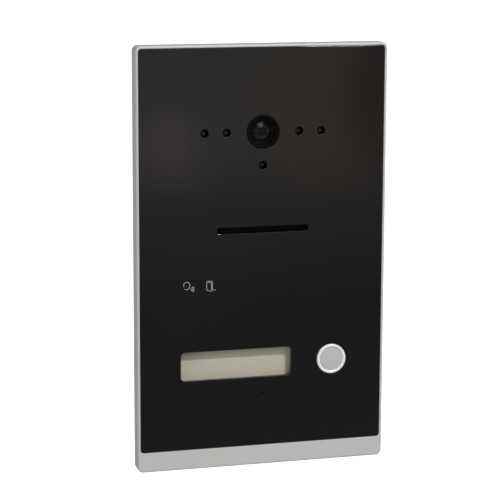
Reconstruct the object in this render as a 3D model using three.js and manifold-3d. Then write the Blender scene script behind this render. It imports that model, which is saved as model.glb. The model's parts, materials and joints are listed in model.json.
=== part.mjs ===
// Flush-mounted door intercom panel with camera, speaker, name plate and call button.
//
// Millimetres, +Z up. The front faces -Y and the wall plane is Y = 0, so everything behind the
// wall plane sits in the wall recess. X = 0 is the panel's centre line and Z = 0 is level with
// the lower edge of the glass, so heights on the front are counted up from that edge.
//
// A light grey frame carries a black glass. A carrier behind the glass holds the camera, the
// speaker, the name plate and the button. The housing, its rear cover and four long screws clamp
// the carrier and the frame together, and the whole hooks onto a steel plate on the wall.

import * as THREE from "three";
import { mergeVertices } from "three/addons/utils/BufferGeometryUtils.js";
import Module from "manifold-3d";

const wasm = await Module();
wasm.setup();

// ---------------------------------------------------------------- driving dimensions

const glass = { width: 105.9, height: 170, corner: 1.3, front: -6.9, back: -4.9 };
const frame = { side: 1.3, top: 1.3, chin: 8.7, front: -7, corner: 2.3, edgeRound: 0.8 };
const housing = { width: 86, height: 149, wall: 1.6, corner: 3, rear: 17.7 };
const wallPlane = 0;

const slip = 0.15; // clearance around a piece that drops into a pocket
const touch = 0.05; // clearance between two flat faces that meet

const cameraAt = { x: 0, z: 134.8 };
const irLedColumns = [-25.2, -15.65, 15.65, 25.2];
const sensorAt = { x: 0, z: 120.9 };
const ledHoleRadius = 1.7;
const speakerAt = { x: 0, z: 93.6 };
const slot = { width: 40, height: 2.7 };
const talkIconAt = { x: -31.8, z: 70.3 };
const doorIconAt = { x: -22.6, z: 70.6 };
const nameAt = { x: -11.3, z: 36.1 };
const nameOpening = { width: 48.4, height: 12.5, corner: 1.9 };
const buttonAt = { x: 30.75, z: 36 };
const microphoneAt = { x: 0.3, z: 22.8 };

// Values that follow from them.
const frameWidth = glass.width + 2 * frame.side;
const frameHeight = glass.height + frame.top + frame.chin;
const frameCentre = (glass.height + frame.top - frame.chin) / 2;
const glassCentre = glass.height / 2;
const ledgeFront = glass.back + 0.4; // the glass lies on a 0.3 mm tape on this ledge
const housingCentre = 83.5;
const housingInner = { width: housing.width - 2 * housing.wall, height: housing.height - 2 * housing.wall };
const plateThickness = 1.2;
const rimInset = 4; // width of the frame's rim that bears on the wall
const recessDepth = 2.2; // the flange and the wall plate lie in this recess behind the frame
const carrierRear = -2.6;
const boardFront = 11;
const boardRear = 12.6;
const coverFront = 18.2;
const coverRear = 20.2;
const coverScrewSpots = cornersOf(77, 140, housingCentre);
const boardPillarSpots = cornersOf(68, 122, 83);
const securityScrewY = -3.7;
const securityScrewSeat = -frame.chin + 1.9;
const hookColumns = [-15, 15];

// ---------------------------------------------------------------- outlines and solids

function cornersOf(width, height, centreZ) {
  const spots = [];
  for (const z of [centreZ - height / 2, centreZ + height / 2]) {
    for (const x of [-width / 2, width / 2]) {
      spots.push({ x, z });
    }
  }
  return spots;
}

function arc(x, z, radius, from, to, steps) {
  const points = [];
  for (let i = 0; i <= steps; i += 1) {
    const angle = from + ((to - from) * i) / steps;
    points.push(new THREE.Vector2(x + radius * Math.cos(angle), z + radius * Math.sin(angle)));
  }
  return points;
}

function roundedRect({ x = 0, z = 0, width, height, corner, steps = 5 }) {
  const right = width / 2 - corner;
  const top = height / 2 - corner;
  const quarter = Math.PI / 2;
  return [
    ...arc(x + right, z + top, corner, 0, quarter, steps),
    ...arc(x - right, z + top, corner, quarter, 2 * quarter, steps),
    ...arc(x - right, z - top, corner, 2 * quarter, 3 * quarter, steps),
    ...arc(x + right, z - top, corner, 3 * quarter, 4 * quarter, steps),
  ];
}

function circle({ x = 0, z = 0, radius, steps = 24 }) {
  return arc(x, z, radius, 0, 2 * Math.PI, steps).slice(0, steps);
}

// A closed three.js geometry as a manifold solid.
function solid(geometry) {
  geometry.deleteAttribute("normal");
  geometry.deleteAttribute("uv");
  const merged = mergeVertices(geometry, 1e-4);
  const index = merged.index.array;
  const kept = [];
  for (let i = 0; i < index.length; i += 3) {
    const [a, b, c] = [index[i], index[i + 1], index[i + 2]];
    if (a !== b && b !== c && c !== a) {
      kept.push(a, b, c);
    }
  }
  const vertProperties = new Float32Array(merged.attributes.position.array);
  const triVerts = new Uint32Array(kept);
  return new wasm.Manifold(new wasm.Mesh({ numProp: 3, vertProperties, triVerts }));
}

function geometryOf(manifold) {
  const mesh = manifold.getMesh();
  const geometry = new THREE.BufferGeometry();
  geometry.setAttribute("position", new THREE.BufferAttribute(mesh.vertProperties, 3));
  geometry.setIndex(new THREE.BufferAttribute(mesh.triVerts, 1));
  geometry.computeVertexNormals();
  return geometry;
}

// A flat piece with this outline as seen from the front, from Y = front to Y = back.
function plate(outline, front, back, holes = []) {
  const shape = new THREE.Shape(outline);
  for (const hole of holes) {
    shape.holes.push(new THREE.Path(hole));
  }
  const geometry = new THREE.ExtrudeGeometry(shape, { depth: back - front, bevelEnabled: false });
  geometry.rotateX(Math.PI / 2);
  geometry.translate(0, back, 0);
  return solid(geometry);
}

// A piece turned about its own Y axis from [radius, y] points that run outwards along the front.
function turned(profile, steps) {
  const points = profile.map(([radius, y]) => new THREE.Vector2(radius, y));
  return solid(new THREE.LatheGeometry(points, steps));
}

function rod(radius, front, back, steps) {
  return turned([[0, front], [radius, front], [radius, back], [0, back]], steps);
}

function tube(inner, outer, front, back, steps) {
  const profile = [[inner, front], [outer, front], [outer, back], [inner, back], [inner, front]];
  return turned(profile, steps);
}

function block([x0, x1], [y0, y1], [z0, z1]) {
  const geometry = new THREE.BoxGeometry(x1 - x0, y1 - y0, z1 - z0);
  geometry.translate((x0 + x1) / 2, (y0 + y1) / 2, (z0 + z1) / 2);
  return solid(geometry);
}

function at(manifold, { x, z }) {
  return manifold.translate([x, 0, z]);
}

function joinAll(manifolds) {
  return manifolds.reduce((whole, next) => whole.add(next));
}

// A pan-head screw that points towards -Y, its head on Y = seat.
function panScrew({ headRadius, headHeight, shankRadius, length, seat }) {
  const top = seat + headHeight;
  const profile = [
    [0, seat - length],
    [shankRadius, seat - length],
    [shankRadius, seat],
    [headRadius, seat],
    [headRadius, top - headHeight * 0.35],
    [headRadius * 0.75, top],
    [0, top],
  ];
  const recess = rod(headRadius * 0.42, top - headHeight * 0.55, top + 1, 6);
  return turned(profile, 12).subtract(recess);
}

// ---------------------------------------------------------------- the assembly

const panel = new THREE.Group();
panel.name = "door_intercom_panel";

const finish = {
  paintedFrame: { color: 0xb9b9b8, roughness: 0.42, metalness: 0 },
  blackGlass: { color: 0x0b0b0c, roughness: 0.08, metalness: 0 },
  blackPlastic: { color: 0x161617, roughness: 0.5, metalness: 0 },
  darkTape: { color: 0x1c1c1c, roughness: 0.9, metalness: 0 },
  clearPlastic: { color: 0xdfe4e2, roughness: 0.08, metalness: 0 },
  lensGlass: { color: 0x2a2030, roughness: 0.04, metalness: 0 },
  darkMetal: { color: 0x2b2b2d, roughness: 0.45, metalness: 0.8 },
  steel: { color: 0x9da0a3, roughness: 0.4, metalness: 1 },
  circuitBoard: { color: 0x1f5a38, roughness: 0.55, metalness: 0 },
  silicon: { color: 0x2d3340, roughness: 0.25, metalness: 0.3 },
  infraredEpoxy: { color: 0x14101a, roughness: 0.15, metalness: 0 },
  foam: { color: 0x262626, roughness: 0.95, metalness: 0 },
  paperCone: { color: 0x2c2a28, roughness: 0.85, metalness: 0 },
  labelPaper: { color: 0xd8d5c4, roughness: 0.7, metalness: 0 },
  whitePlastic: { color: 0xf0f0ee, roughness: 0.4, metalness: 0 },
  satinCap: { color: 0xb8b8b6, roughness: 0.38, metalness: 0.1 },
  rubber: { color: 0x1d1d1d, roughness: 0.85, metalness: 0 },
  greyHousing: { color: 0x3a3c3e, roughness: 0.6, metalness: 0 },
  terminalGreen: { color: 0x2f7d4f, roughness: 0.5, metalness: 0 },
};

// Adds a piece as a named mesh. Pieces that are made about their own axis are placed here.
function addPiece(name, manifold, look, { x = 0, z = 0 } = {}) {
  const mesh = new THREE.Mesh(geometryOf(manifold), new THREE.MeshStandardMaterial(look));
  mesh.name = name;
  mesh.position.set(x, 0, z);
  panel.add(mesh);
}

// ---------------------------------------------------------------- frame and glass

function frameOutline(inset, corner) {
  return roundedRect({
    z: frameCentre,
    width: frameWidth - 2 * inset,
    height: frameHeight - 2 * inset,
    corner,
    steps: 6,
  });
}

function housingOutline(grow, corner = housing.corner) {
  return roundedRect({
    z: housingCentre,
    width: housing.width + 2 * grow,
    height: housing.height + 2 * grow,
    corner,
  });
}

function frameBlank() {
  const { edgeRound } = frame;
  const geometry = new THREE.ExtrudeGeometry(new THREE.Shape(frameOutline(0, frame.corner)), {
    depth: wallPlane - frame.front,
    bevelThickness: edgeRound,
    bevelSize: edgeRound,
    bevelOffset: -edgeRound,
    bevelSegments: 4,
  });
  geometry.rotateX(Math.PI / 2);
  geometry.translate(0, wallPlane + edgeRound, 0);
  const behindWall = block([-100, 100], [wallPlane, 10], [-100, 300]);
  return solid(geometry).subtract(behindWall);
}

// Room for the plate's bent tab and for the screw that comes up through the chin to meet it.
function securityScrewCuts() {
  const tabPocket = block([-5.5, 5.5], [-5.8, wallPlane - recessDepth + 1], [-frame.chin + 4, -2.8]);
  const shankHole = rod(1.45, -8, 0, 16).rotate([90, 0, 0]).translate([0, securityScrewY, -2.8]);
  const headHole = rod(2.45, -4, 0, 16).rotate([90, 0, 0]).translate([0, securityScrewY, securityScrewSeat]);
  return tabPocket.add(shankHole).add(headHole);
}

function hookPocket(x) {
  return block([x - 4.5, x + 4.5], [-4, wallPlane - recessDepth + 1], [165.3, 169]);
}

function frontFrame() {
  const glassPocket = roundedRect({
    z: glassCentre,
    width: glass.width + 2 * slip,
    height: glass.height + 2 * slip,
    corner: glass.corner + slip,
  });
  const cuts = [
    plate(glassPocket, frame.front - 1, ledgeFront),
    plate(housingOutline(0.7, 3.7), ledgeFront - 1, 1),
    plate(housingOutline(3.9, 4.5), ledgeFront - 1, -3.35),
    plate(frameOutline(rimInset, 1), -recessDepth, 1),
    plate(frameOutline(1.5, 1.2), -1.1, 1, [frameOutline(3.3, 0.6)]),
    securityScrewCuts(),
    ...hookColumns.map(hookPocket),
  ];
  return frameBlank().subtract(joinAll(cuts));
}

function glassHoles() {
  const leds = irLedColumns.map((x) => circle({ x, z: cameraAt.z, radius: ledHoleRadius, steps: 16 }));
  return [
    ...leds,
    circle({ ...cameraAt, radius: 7.1, steps: 36 }),
    circle({ ...sensorAt, radius: ledHoleRadius, steps: 16 }),
    roundedRect({ ...speakerAt, width: slot.width, height: slot.height, corner: slot.height / 2 - 0.2 }),
    roundedRect({ ...nameAt, ...nameOpening }),
    circle({ ...buttonAt, radius: 6.65, steps: 36 }),
    circle({ ...microphoneAt, radius: 0.45, steps: 8 }),
  ];
}

function frontGlass() {
  const { width, height, corner } = glass;
  return plate(roundedRect({ z: glassCentre, width, height, corner }), glass.front, glass.back, glassHoles());
}

function glassTape() {
  const outer = roundedRect({ z: glassCentre, width: 105.3, height: 169.4, corner: 1 });
  return plate(outer, glass.back + touch, ledgeFront - touch, [housingOutline(4.2, 4.8)]);
}

addPiece("front_frame", frontFrame(), finish.paintedFrame);
addPiece("front_glass", frontGlass(), finish.blackGlass);
addPiece("glass_tape", glassTape(), finish.darkTape);

// ---------------------------------------------------------------- carrier behind the glass

const nameTray = { width: 55, height: 18, corner: 1.5, front: -4.8, back: -1.6, floor: -3.15 };
const speakerPort = { width: 42, height: 5, corner: 1.5 };
const speakerMesh = { width: 44, height: 6.4, corner: 1 };
const lightPipeRadius = 2.4;
const buttonBushRadius = 8.6;
const microphoneBootRadius = 3.4;
const ledBoardPosts = [-20.4, 20.4].flatMap((x) => [{ x, z: 126 }, { x, z: 144 }]);

function carrierHoles() {
  const leds = irLedColumns.map((x) => circle({ x, z: cameraAt.z, radius: 2.1, steps: 10 }));
  const tray = { ...nameTray, width: nameTray.width + 2 * slip, height: nameTray.height + 2 * slip };
  return [
    ...leds,
    circle({ ...sensorAt, radius: 2.1, steps: 10 }),
    circle({ ...cameraAt, radius: 8.8, steps: 24 }),
    roundedRect({ ...speakerAt, ...speakerPort }),
    circle({ ...talkIconAt, radius: lightPipeRadius + 0.2, steps: 16 }),
    circle({ ...doorIconAt, radius: lightPipeRadius + 0.2, steps: 16 }),
    roundedRect({ ...nameAt, ...tray }),
    circle({ ...buttonAt, radius: buttonBushRadius + 0.2 }),
    circle({ ...microphoneAt, radius: microphoneBootRadius + 0.2, steps: 14 }),
  ];
}

function carrier() {
  const body = plate(housingOutline(0.4, 3.4), ledgeFront, carrierRear, carrierHoles());
  const rim = plate(housingOutline(3.6, 4.2), ledgeFront, -3.45, [housingOutline(0.2, 3.2)]);
  const pillars = boardPillarSpots.map((spot) => at(rod(2.6, carrierRear - 0.5, boardFront - 0.1, 12), spot));
  const bosses = coverScrewSpots.map((spot) => at(rod(2.7, carrierRear - 0.5, 1.5, 12), spot));
  const posts = ledBoardPosts.map((spot) => at(rod(1.6, carrierRear - 0.5, 0.5, 8), spot));
  const meshRecess = plate(roundedRect({ ...speakerAt, width: 44.6, height: 7, corner: 1.2 }), -6, -3.9);
  const boardScrewHoles = boardPillarSpots.map((spot) => at(rod(1.35, 6, 20, 10), spot));
  const coverScrewHoles = coverScrewSpots.map((spot) => at(rod(1.55, -2.3, 5, 10), spot));
  const cuts = joinAll([meshRecess, ...boardScrewHoles, ...coverScrewHoles]);
  return joinAll([body, rim, ...pillars, ...bosses, ...posts]).subtract(cuts);
}

addPiece("inner_carrier", carrier(), finish.blackPlastic);

// ---------------------------------------------------------------- camera

function cameraRing() {
  return turned([
    [6.2, -6.85], [7, -6.85], [7, -4.8], [8.5, -4.8], [8.5, -3.9],
    [5.1, -3.9], [5.1, -5.6], [5.75, -5.6], [5.75, -6.4], [6.2, -6.85],
  ], 24);
}

function lensShroud() {
  return turned([
    [5.05, -3.85], [8.3, -3.85], [8.3, 0.2], [5.05, 0.2], [5.05, -3.85],
  ], 24);
}

// The barrel's lip holds the front element just behind the window; the rear slides in the holder.
const frontLens = { radius: 4.2, domeRadius: 6, front: -5.45, back: -1.45 };

function lensBarrel() {
  const [lipRadius, seatRadius, seat] = [frontLens.radius + 0.1, 3.5, frontLens.back + 0.05];
  return turned([
    [lipRadius, -5.1], [4.9, -5.1], [4.9, 0.5], [6, 0.5], [6, 7],
    [4.6, 7], [4.6, 0.6], [seatRadius, 0.6], [seatRadius, seat], [lipRadius, seat], [lipRadius, -5.1],
  ], 24);
}

function lensElement() {
  const { radius, domeRadius, front, back } = frontLens;
  const steepest = Math.asin(radius / domeRadius) - Math.PI / 2;
  const dome = arc(0, front + domeRadius, domeRadius, -Math.PI / 2, steepest, 4).map(({ x, y }) => [x, y]);
  return turned([...dome, [radius, back], [0, back]], 24);
}

function lensHolder() {
  const body = block([-8, 8], [4.2, 8.5], [-8, 8]);
  return body.subtract(rod(6.15, 3, 10, 32));
}

function irLed() {
  const dome = arc(0, -3.9, 1.5, -Math.PI / 2, 0, 3).map(({ x, y }) => [x, y]);
  return turned([...dome, [1.5, -0.6], [1.9, -0.6], [1.9, 0.55], [0, 0.55]], 10);
}

function dayNightSensor() {
  return turned([[0, -5.3], [1, -5.2], [1.45, -4.9], [1.45, -0.6], [1.9, -0.6], [1.9, 0.55], [0, 0.55]], 10);
}

function ledBoard() {
  const outline = roundedRect({ z: 132, width: 62, height: 32, corner: 1.5, steps: 3 });
  return plate(outline, 0.6, 2, [circle({ ...cameraAt, radius: 8.6, steps: 32 })]);
}

addPiece("camera_ring", cameraRing(), finish.blackPlastic, cameraAt);
addPiece("camera_window", rod(5.6, -6.4, -5.65, 24), finish.clearPlastic, cameraAt);
addPiece("lens_shroud", lensShroud(), finish.blackPlastic, cameraAt);
addPiece("lens_barrel", lensBarrel(), finish.darkMetal, cameraAt);
addPiece("lens_element", lensElement(), finish.lensGlass, cameraAt);
addPiece("lens_lock_ring", tube(6.15, 8.2, 2.3, 4, 24), finish.darkMetal, cameraAt);
addPiece("lens_holder", lensHolder(), finish.blackPlastic, cameraAt);
addPiece("image_sensor", block([-4, 4], [7.5, 8.45], [-4, 4]), finish.silicon, cameraAt);
addPiece("camera_board", block([-13, 13], [8.6, 9.8], [-13, 13]), finish.circuitBoard, cameraAt);
irLedColumns.forEach((x, i) => {
  addPiece(`ir_led_${i + 1}`, irLed(), finish.infraredEpoxy, { x, z: cameraAt.z });
});
addPiece("day_night_sensor", dayNightSensor(), finish.infraredEpoxy, sensorAt);
addPiece("led_board", ledBoard(), finish.circuitBoard);

// ---------------------------------------------------------------- speaker

function speakerGrille() {
  const slots = [];
  for (let i = 0; i < 8; i += 1) {
    slots.push(roundedRect({ x: (i - 3.5) * 4.8, width: 3.8, height: 1.6, corner: 0.7, steps: 1 }));
  }
  return plate(roundedRect(speakerMesh), -4.45, -3.95, slots);
}

function speakerBasket() {
  return turned([
    [15.4, -0.95], [18, -0.95], [18, 0.3], [16.2, 0.3], [9, 6.5],
    [3.5, 6.5], [3.5, 5.7], [8.6, 5.7], [15.4, 0.1], [15.4, -0.95],
  ], 24);
}

function speakerCone() {
  return turned([
    [0, 1.9], [2.4, 2.3], [4.4, 3.4], [12.4, -0.6], [15.1, -0.8],
    [15.1, -0.4], [12.6, -0.1], [4.6, 4], [2.4, 2.8], [0, 2.4],
  ], 24);
}

function speakerMagnet() {
  return turned([[0, 6.6], [9, 6.6], [9, 9.8], [8.4, 10.4], [0, 10.4]], 24);
}

addPiece("speaker_mesh", speakerGrille(), finish.darkMetal, speakerAt);
addPiece("speaker_gasket", tube(15.4, 18, -2.55, -1, 24), finish.foam, speakerAt);
addPiece("speaker_basket", speakerBasket(), finish.steel, speakerAt);
addPiece("speaker_cone", speakerCone(), finish.paperCone, speakerAt);
addPiece("speaker_magnet", speakerMagnet(), finish.darkMetal, speakerAt);

// ---------------------------------------------------------------- name plate and indicators

function nameTrayBody() {
  const { width, height, corner, front, back, floor } = nameTray;
  const outer = plate(roundedRect({ width, height, corner }), front, back);
  const pocket = plate(roundedRect({ width: 51.3, height: 15.3, corner: 1.1 }), front - 1, floor);
  return outer.subtract(pocket);
}

function nameWindow() {
  const { width, height, corner } = nameOpening;
  const outline = roundedRect({ width: width - 2 * slip, height: height - 2 * slip, corner: corner - slip });
  return plate(outline, glass.front + 0.1, -5.3);
}

function nameLabel() {
  return plate(roundedRect({ width: 51, height: 15, corner: 1 }), -3.45, nameTray.floor - touch);
}

function lightPipe() {
  return turned([[0, -4.8], [2, -4.8], [lightPipeRadius, -4.2], [lightPipeRadius, 9.3], [0, 9.3]], 14);
}

const indicatorLed = () => block([-1.5, 1.5], [9.5, boardFront - touch], [-1.5, 1.5]);

addPiece("name_window", nameWindow(), finish.clearPlastic, nameAt);
addPiece("name_label", nameLabel(), finish.labelPaper, nameAt);
addPiece("name_tray", nameTrayBody(), finish.whitePlastic, nameAt);
addPiece("talk_light_pipe", lightPipe(), finish.clearPlastic, talkIconAt);
addPiece("talk_led", indicatorLed(), finish.whitePlastic, talkIconAt);
addPiece("door_light_pipe", lightPipe(), finish.clearPlastic, doorIconAt);
addPiece("door_led", indicatorLed(), finish.whitePlastic, doorIconAt);

// ---------------------------------------------------------------- call button

const spring = { meanRadius: 3.2, wireRadius: 0.3, front: -5.1, back: 1.15, turns: 5 };

const buttonBore = 5.2;
const buttonCapRadius = buttonBore - 0.18;

function buttonRing() {
  return turned([
    [5.4, -7.6], [6.2, -7.6], [6.5, -7.3], [6.5, -4.8], [buttonBushRadius, -4.8],
    [buttonBushRadius, -3.9], [buttonBore, -3.9], [buttonBore, -7.35], [5.4, -7.6],
  ], 24);
}

function buttonBush() {
  const [floorFront, floorBack] = [1.5, 3];
  return turned([
    [buttonBore, -3.85], [buttonBushRadius, -3.85], [buttonBushRadius, floorBack],
    [2.3, floorBack], [2.3, floorFront], [buttonBore, floorFront], [buttonBore, -3.85],
  ], 24);
}

// A crowned cap with a skirt that runs in the bush and a stem that reaches the switch.
function buttonCap() {
  const [skirtRadius, stemRadius, grooveRadius] = [3.95, 2.1, 1.6];
  return turned([
    [0, -7.4], [2.4, -7.34], [4.6, -7.2], [buttonCapRadius, -6.9],
    [buttonCapRadius, -2.2], [skirtRadius, -2.2], [skirtRadius, -5.5], [stemRadius, -5.5],
    [stemRadius, 3.05], [grooveRadius, 3.05], [grooveRadius, 3.75],
    [stemRadius, 3.75], [stemRadius, 5.85], [0, 5.85],
  ], 24);
}

// A clip with one open side that snaps into the stem's groove behind the bush.
function buttonRetainer() {
  const ring = tube(1.75, 3.4, 3.1, 3.7, 20);
  return ring.subtract(block([-0.9, 0.9], [2, 5], [-5, 0]));
}

class Helix extends THREE.Curve {
  getPoint(t, target = new THREE.Vector3()) {
    const angle = 2 * Math.PI * spring.turns * t;
    const y = spring.front + (spring.back - spring.front) * t;
    return target.set(spring.meanRadius * Math.cos(angle), y, spring.meanRadius * Math.sin(angle));
  }
}

function buttonSpring() {
  const section = new THREE.Shape(circle({ radius: spring.wireRadius, steps: 6 }));
  const options = { steps: 9 * spring.turns, extrudePath: new Helix(), bevelEnabled: false };
  return solid(new THREE.ExtrudeGeometry(section, options));
}

function buttonSwitch() {
  const body = block([-3, 3], [7, boardFront - touch], [-3, 3]);
  return body.subtract(rod(1.35, 6, 10.2, 16));
}

addPiece("button_ring", buttonRing(), finish.whitePlastic, buttonAt);
addPiece("button_cap", buttonCap(), finish.satinCap, buttonAt);
addPiece("button_bush", buttonBush(), finish.blackPlastic, buttonAt);
addPiece("button_spring", buttonSpring(), finish.steel, buttonAt);
addPiece("button_retainer", buttonRetainer(), finish.steel, buttonAt);
addPiece("switch_plunger", rod(1.2, 5.9, 8.5, 16), finish.blackPlastic, buttonAt);
addPiece("button_switch", buttonSwitch(), finish.blackPlastic, buttonAt);

// ---------------------------------------------------------------- microphone

function microphoneBoot() {
  return turned([
    [0.5, -4.8], [microphoneBootRadius, -4.8], [microphoneBootRadius, -0.8],
    [3, -0.8], [3, -4], [0.5, -4], [0.5, -4.8],
  ], 14);
}

addPiece("microphone_boot", microphoneBoot(), finish.rubber, microphoneAt);
addPiece("microphone", rod(2.85, -3.9, -1.2, 20), finish.steel, microphoneAt);

// ---------------------------------------------------------------- main board and terminals

const terminals = { count: 4, pitch: 5, z: 30, height: 10, rear: 28 };
const terminalWidth = terminals.count * terminals.pitch + 2;
const terminalColumns = Array.from(
  { length: terminals.count },
  (_, i) => (i - (terminals.count - 1) / 2) * terminals.pitch,
);

function mainBoard() {
  const holes = boardPillarSpots.map((spot) => circle({ ...spot, radius: 1.5, steps: 12 }));
  const outline = roundedRect({ z: 83.5, width: 80, height: 131, corner: 1.5, steps: 3 });
  return plate(outline, boardFront, boardRear, holes);
}

// Screws go in from the rear and wires from below, into the part that stands behind the cover.
function terminalBlock() {
  const half = terminals.height / 2;
  const halfWidth = terminalWidth / 2;
  const body = block([-halfWidth, halfWidth], [boardRear + touch, terminals.rear], [-half, half]);
  const cuts = terminalColumns.flatMap((x) => [
    at(rod(2, 23.5, 30, 16), { x, z: 1 }),
    block([x - 1.6, x + 1.6], [22.3, 25.5], [-half - 1, -1.6]),
  ]);
  return body.subtract(joinAll(cuts));
}

const boardScrew = panScrew({ headRadius: 2.3, headHeight: 1.5, shankRadius: 1.2, length: 6, seat: 12.65 });
const terminalScrew = panScrew({ headRadius: 1.8, headHeight: 1.4, shankRadius: 1.2, length: 1.2, seat: 25 });

addPiece("main_board", mainBoard(), finish.circuitBoard);
boardPillarSpots.forEach((spot, i) => {
  addPiece(`board_screw_${i + 1}`, boardScrew, finish.steel, spot);
});
addPiece("terminal_block", terminalBlock(), finish.terminalGreen, { x: 0, z: terminals.z });
terminalColumns.forEach((x, i) => {
  addPiece(`terminal_screw_${i + 1}`, terminalScrew, finish.steel, { x, z: terminals.z + 1 });
});

// ---------------------------------------------------------------- housing and rear cover

function housingBody() {
  const inner = roundedRect({ z: housingCentre, ...housingInner, corner: housing.corner - housing.wall });
  const walls = plate(housingOutline(0), -2.15, housing.rear, [inner]);
  const flangeOutline = roundedRect({ z: 81.6, width: 99, height: 167.2, corner: 1 });
  const flange = plate(flangeOutline, -2.15, -1.35, [inner]);
  const bosses = coverScrewSpots.map((spot) => at(rod(3.3, 1.8, housing.rear, 16), spot));
  const holes = coverScrewSpots.map((spot) => at(rod(1.6, 0, 20, 12), spot));
  return joinAll([walls, flange, ...bosses]).subtract(joinAll(holes));
}

const coverRibs = { count: 6, lowest: 60, pitch: 15, thickness: 1.4, height: 1 };

function rearCover() {
  const holes = coverScrewSpots.map((spot) => circle({ ...spot, radius: 1.6, steps: 12 }));
  const terminalOpening = {
    z: terminals.z,
    width: terminalWidth + 0.8,
    height: terminals.height + 0.8,
    corner: 0.5,
    steps: 2,
  };
  const base = plate(housingOutline(0), coverFront, coverRear, [...holes, roundedRect(terminalOpening)]);
  const ribs = [];
  for (let row = 0; row < coverRibs.count; row += 1) {
    const z = coverRibs.lowest + row * coverRibs.pitch;
    const half = coverRibs.thickness / 2;
    ribs.push(block([-32, 32], [coverRear - 0.5, coverRear + coverRibs.height], [z - half, z + half]));
  }
  return joinAll([base, ...ribs]);
}

function coverGasket() {
  const inner = housingOutline(-1.4, 1.6);
  return plate(housingOutline(-0.2, 2.8), housing.rear + touch, coverFront - touch, [inner]);
}

const coverScrew = panScrew({
  headRadius: 2.8,
  headHeight: 1.8,
  shankRadius: 1.4,
  length: 21.8,
  seat: coverRear + touch,
});

addPiece("housing", housingBody(), finish.greyHousing);
addPiece("cover_gasket", coverGasket(), finish.rubber);
addPiece("rear_cover", rearCover(), finish.greyHousing);
coverScrewSpots.forEach((spot, i) => {
  addPiece(`cover_screw_${i + 1}`, coverScrew, finish.steel, spot);
});

// ---------------------------------------------------------------- wall fixing

const wallScrewSpots = cornersOf(60, 160.6, 82.5);

// The plate's top hooks hold the frame and its bent tab takes the security screw.
function mountingPlate() {
  const holes = wallScrewSpots.map((spot) => circle({ ...spot, radius: 2.2, steps: 16 }));
  const ringFront = wallPlane - plateThickness;
  const outline = frameOutline(rimInset + 0.4, 1);
  const ring = plate(outline, ringFront, wallPlane, [...holes, housingOutline(0.5, 3.5)]);
  const tabBottom = -frame.chin + rimInset + 0.4;
  const tab = block([-5, 5], [-5.5, ringFront + 0.2], [tabBottom, tabBottom + plateThickness]);
  const tabHole = rod(1.45, -8, 0, 16).rotate([90, 0, 0]).translate([0, securityScrewY, 0]);
  const hooks = hookColumns.flatMap((x) => [
    block([x - 4, x + 4], [-3.6, ringFront + 0.2], [165.7, 166.9]),
    block([x - 4, x + 4], [-3.6, -2.4], [166.4, 168.5]),
  ]);
  return joinAll([ring, tab, ...hooks]).subtract(tabHole);
}

function wallGasket() {
  return plate(frameOutline(1.65, 1.05), -1, wallPlane, [frameOutline(3.15, 0.75)]);
}

const chinScrew = { headRadius: 2.25, headHeight: 1.6, shankRadius: 1.25, length: 3.8, seat: 0 };
const securityScrew = panScrew(chinScrew)
  .rotate([-90, 0, 0])
  .translate([0, securityScrewY, securityScrewSeat - touch]);

addPiece("mounting_plate", mountingPlate(), finish.steel);
addPiece("wall_gasket", wallGasket(), finish.rubber);
addPiece("security_screw", securityScrew, finish.steel);

export default panel;
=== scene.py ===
"""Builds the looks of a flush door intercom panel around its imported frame.

Every length in the making functions is in millimetres and every mesh ends in metres. The front
faces -Y, +Z is up and the wall plane is Y = 0, as in the frame. Outlines are drawn in the X-Z
plane and depths run along Y. Places come from the boxes of the frame's own nodes.
"""

import json
import math

import bmesh
import bpy
from bpy.props import FloatProperty, FloatVectorProperty, IntProperty, PointerProperty
from mathutils import Matrix, Vector


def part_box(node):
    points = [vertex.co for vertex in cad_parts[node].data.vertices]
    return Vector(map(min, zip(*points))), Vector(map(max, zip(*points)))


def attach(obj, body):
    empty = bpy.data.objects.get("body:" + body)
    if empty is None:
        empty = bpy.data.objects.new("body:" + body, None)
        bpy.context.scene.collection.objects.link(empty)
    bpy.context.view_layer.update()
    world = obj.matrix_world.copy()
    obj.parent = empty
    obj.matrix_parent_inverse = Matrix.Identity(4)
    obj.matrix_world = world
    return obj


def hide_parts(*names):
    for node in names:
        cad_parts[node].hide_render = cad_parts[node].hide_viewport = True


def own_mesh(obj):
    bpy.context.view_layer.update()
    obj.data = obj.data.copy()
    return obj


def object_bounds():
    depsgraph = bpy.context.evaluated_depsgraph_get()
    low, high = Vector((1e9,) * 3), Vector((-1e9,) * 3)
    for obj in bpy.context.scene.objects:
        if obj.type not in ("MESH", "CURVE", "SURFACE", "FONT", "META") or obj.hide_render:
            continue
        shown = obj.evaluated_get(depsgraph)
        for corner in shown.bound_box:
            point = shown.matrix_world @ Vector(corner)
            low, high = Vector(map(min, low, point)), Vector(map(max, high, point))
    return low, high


bl_info = {
    "name": "Door intercom panel",
    "version": (1, 0, 0),
    "blender": (4, 5, 0),
    "location": "3D View > Sidebar > Intercom",
    "description": "Builds a flush door intercom panel piece by piece around its packed frame",
    "category": "Object",
}

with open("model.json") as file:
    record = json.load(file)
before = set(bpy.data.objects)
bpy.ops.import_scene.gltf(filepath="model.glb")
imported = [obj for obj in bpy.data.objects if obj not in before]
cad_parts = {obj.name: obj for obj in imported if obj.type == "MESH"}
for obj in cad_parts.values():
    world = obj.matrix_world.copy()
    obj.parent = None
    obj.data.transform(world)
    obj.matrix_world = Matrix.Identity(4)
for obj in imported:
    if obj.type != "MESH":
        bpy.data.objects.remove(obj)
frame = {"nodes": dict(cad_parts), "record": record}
cad_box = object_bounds()

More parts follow.
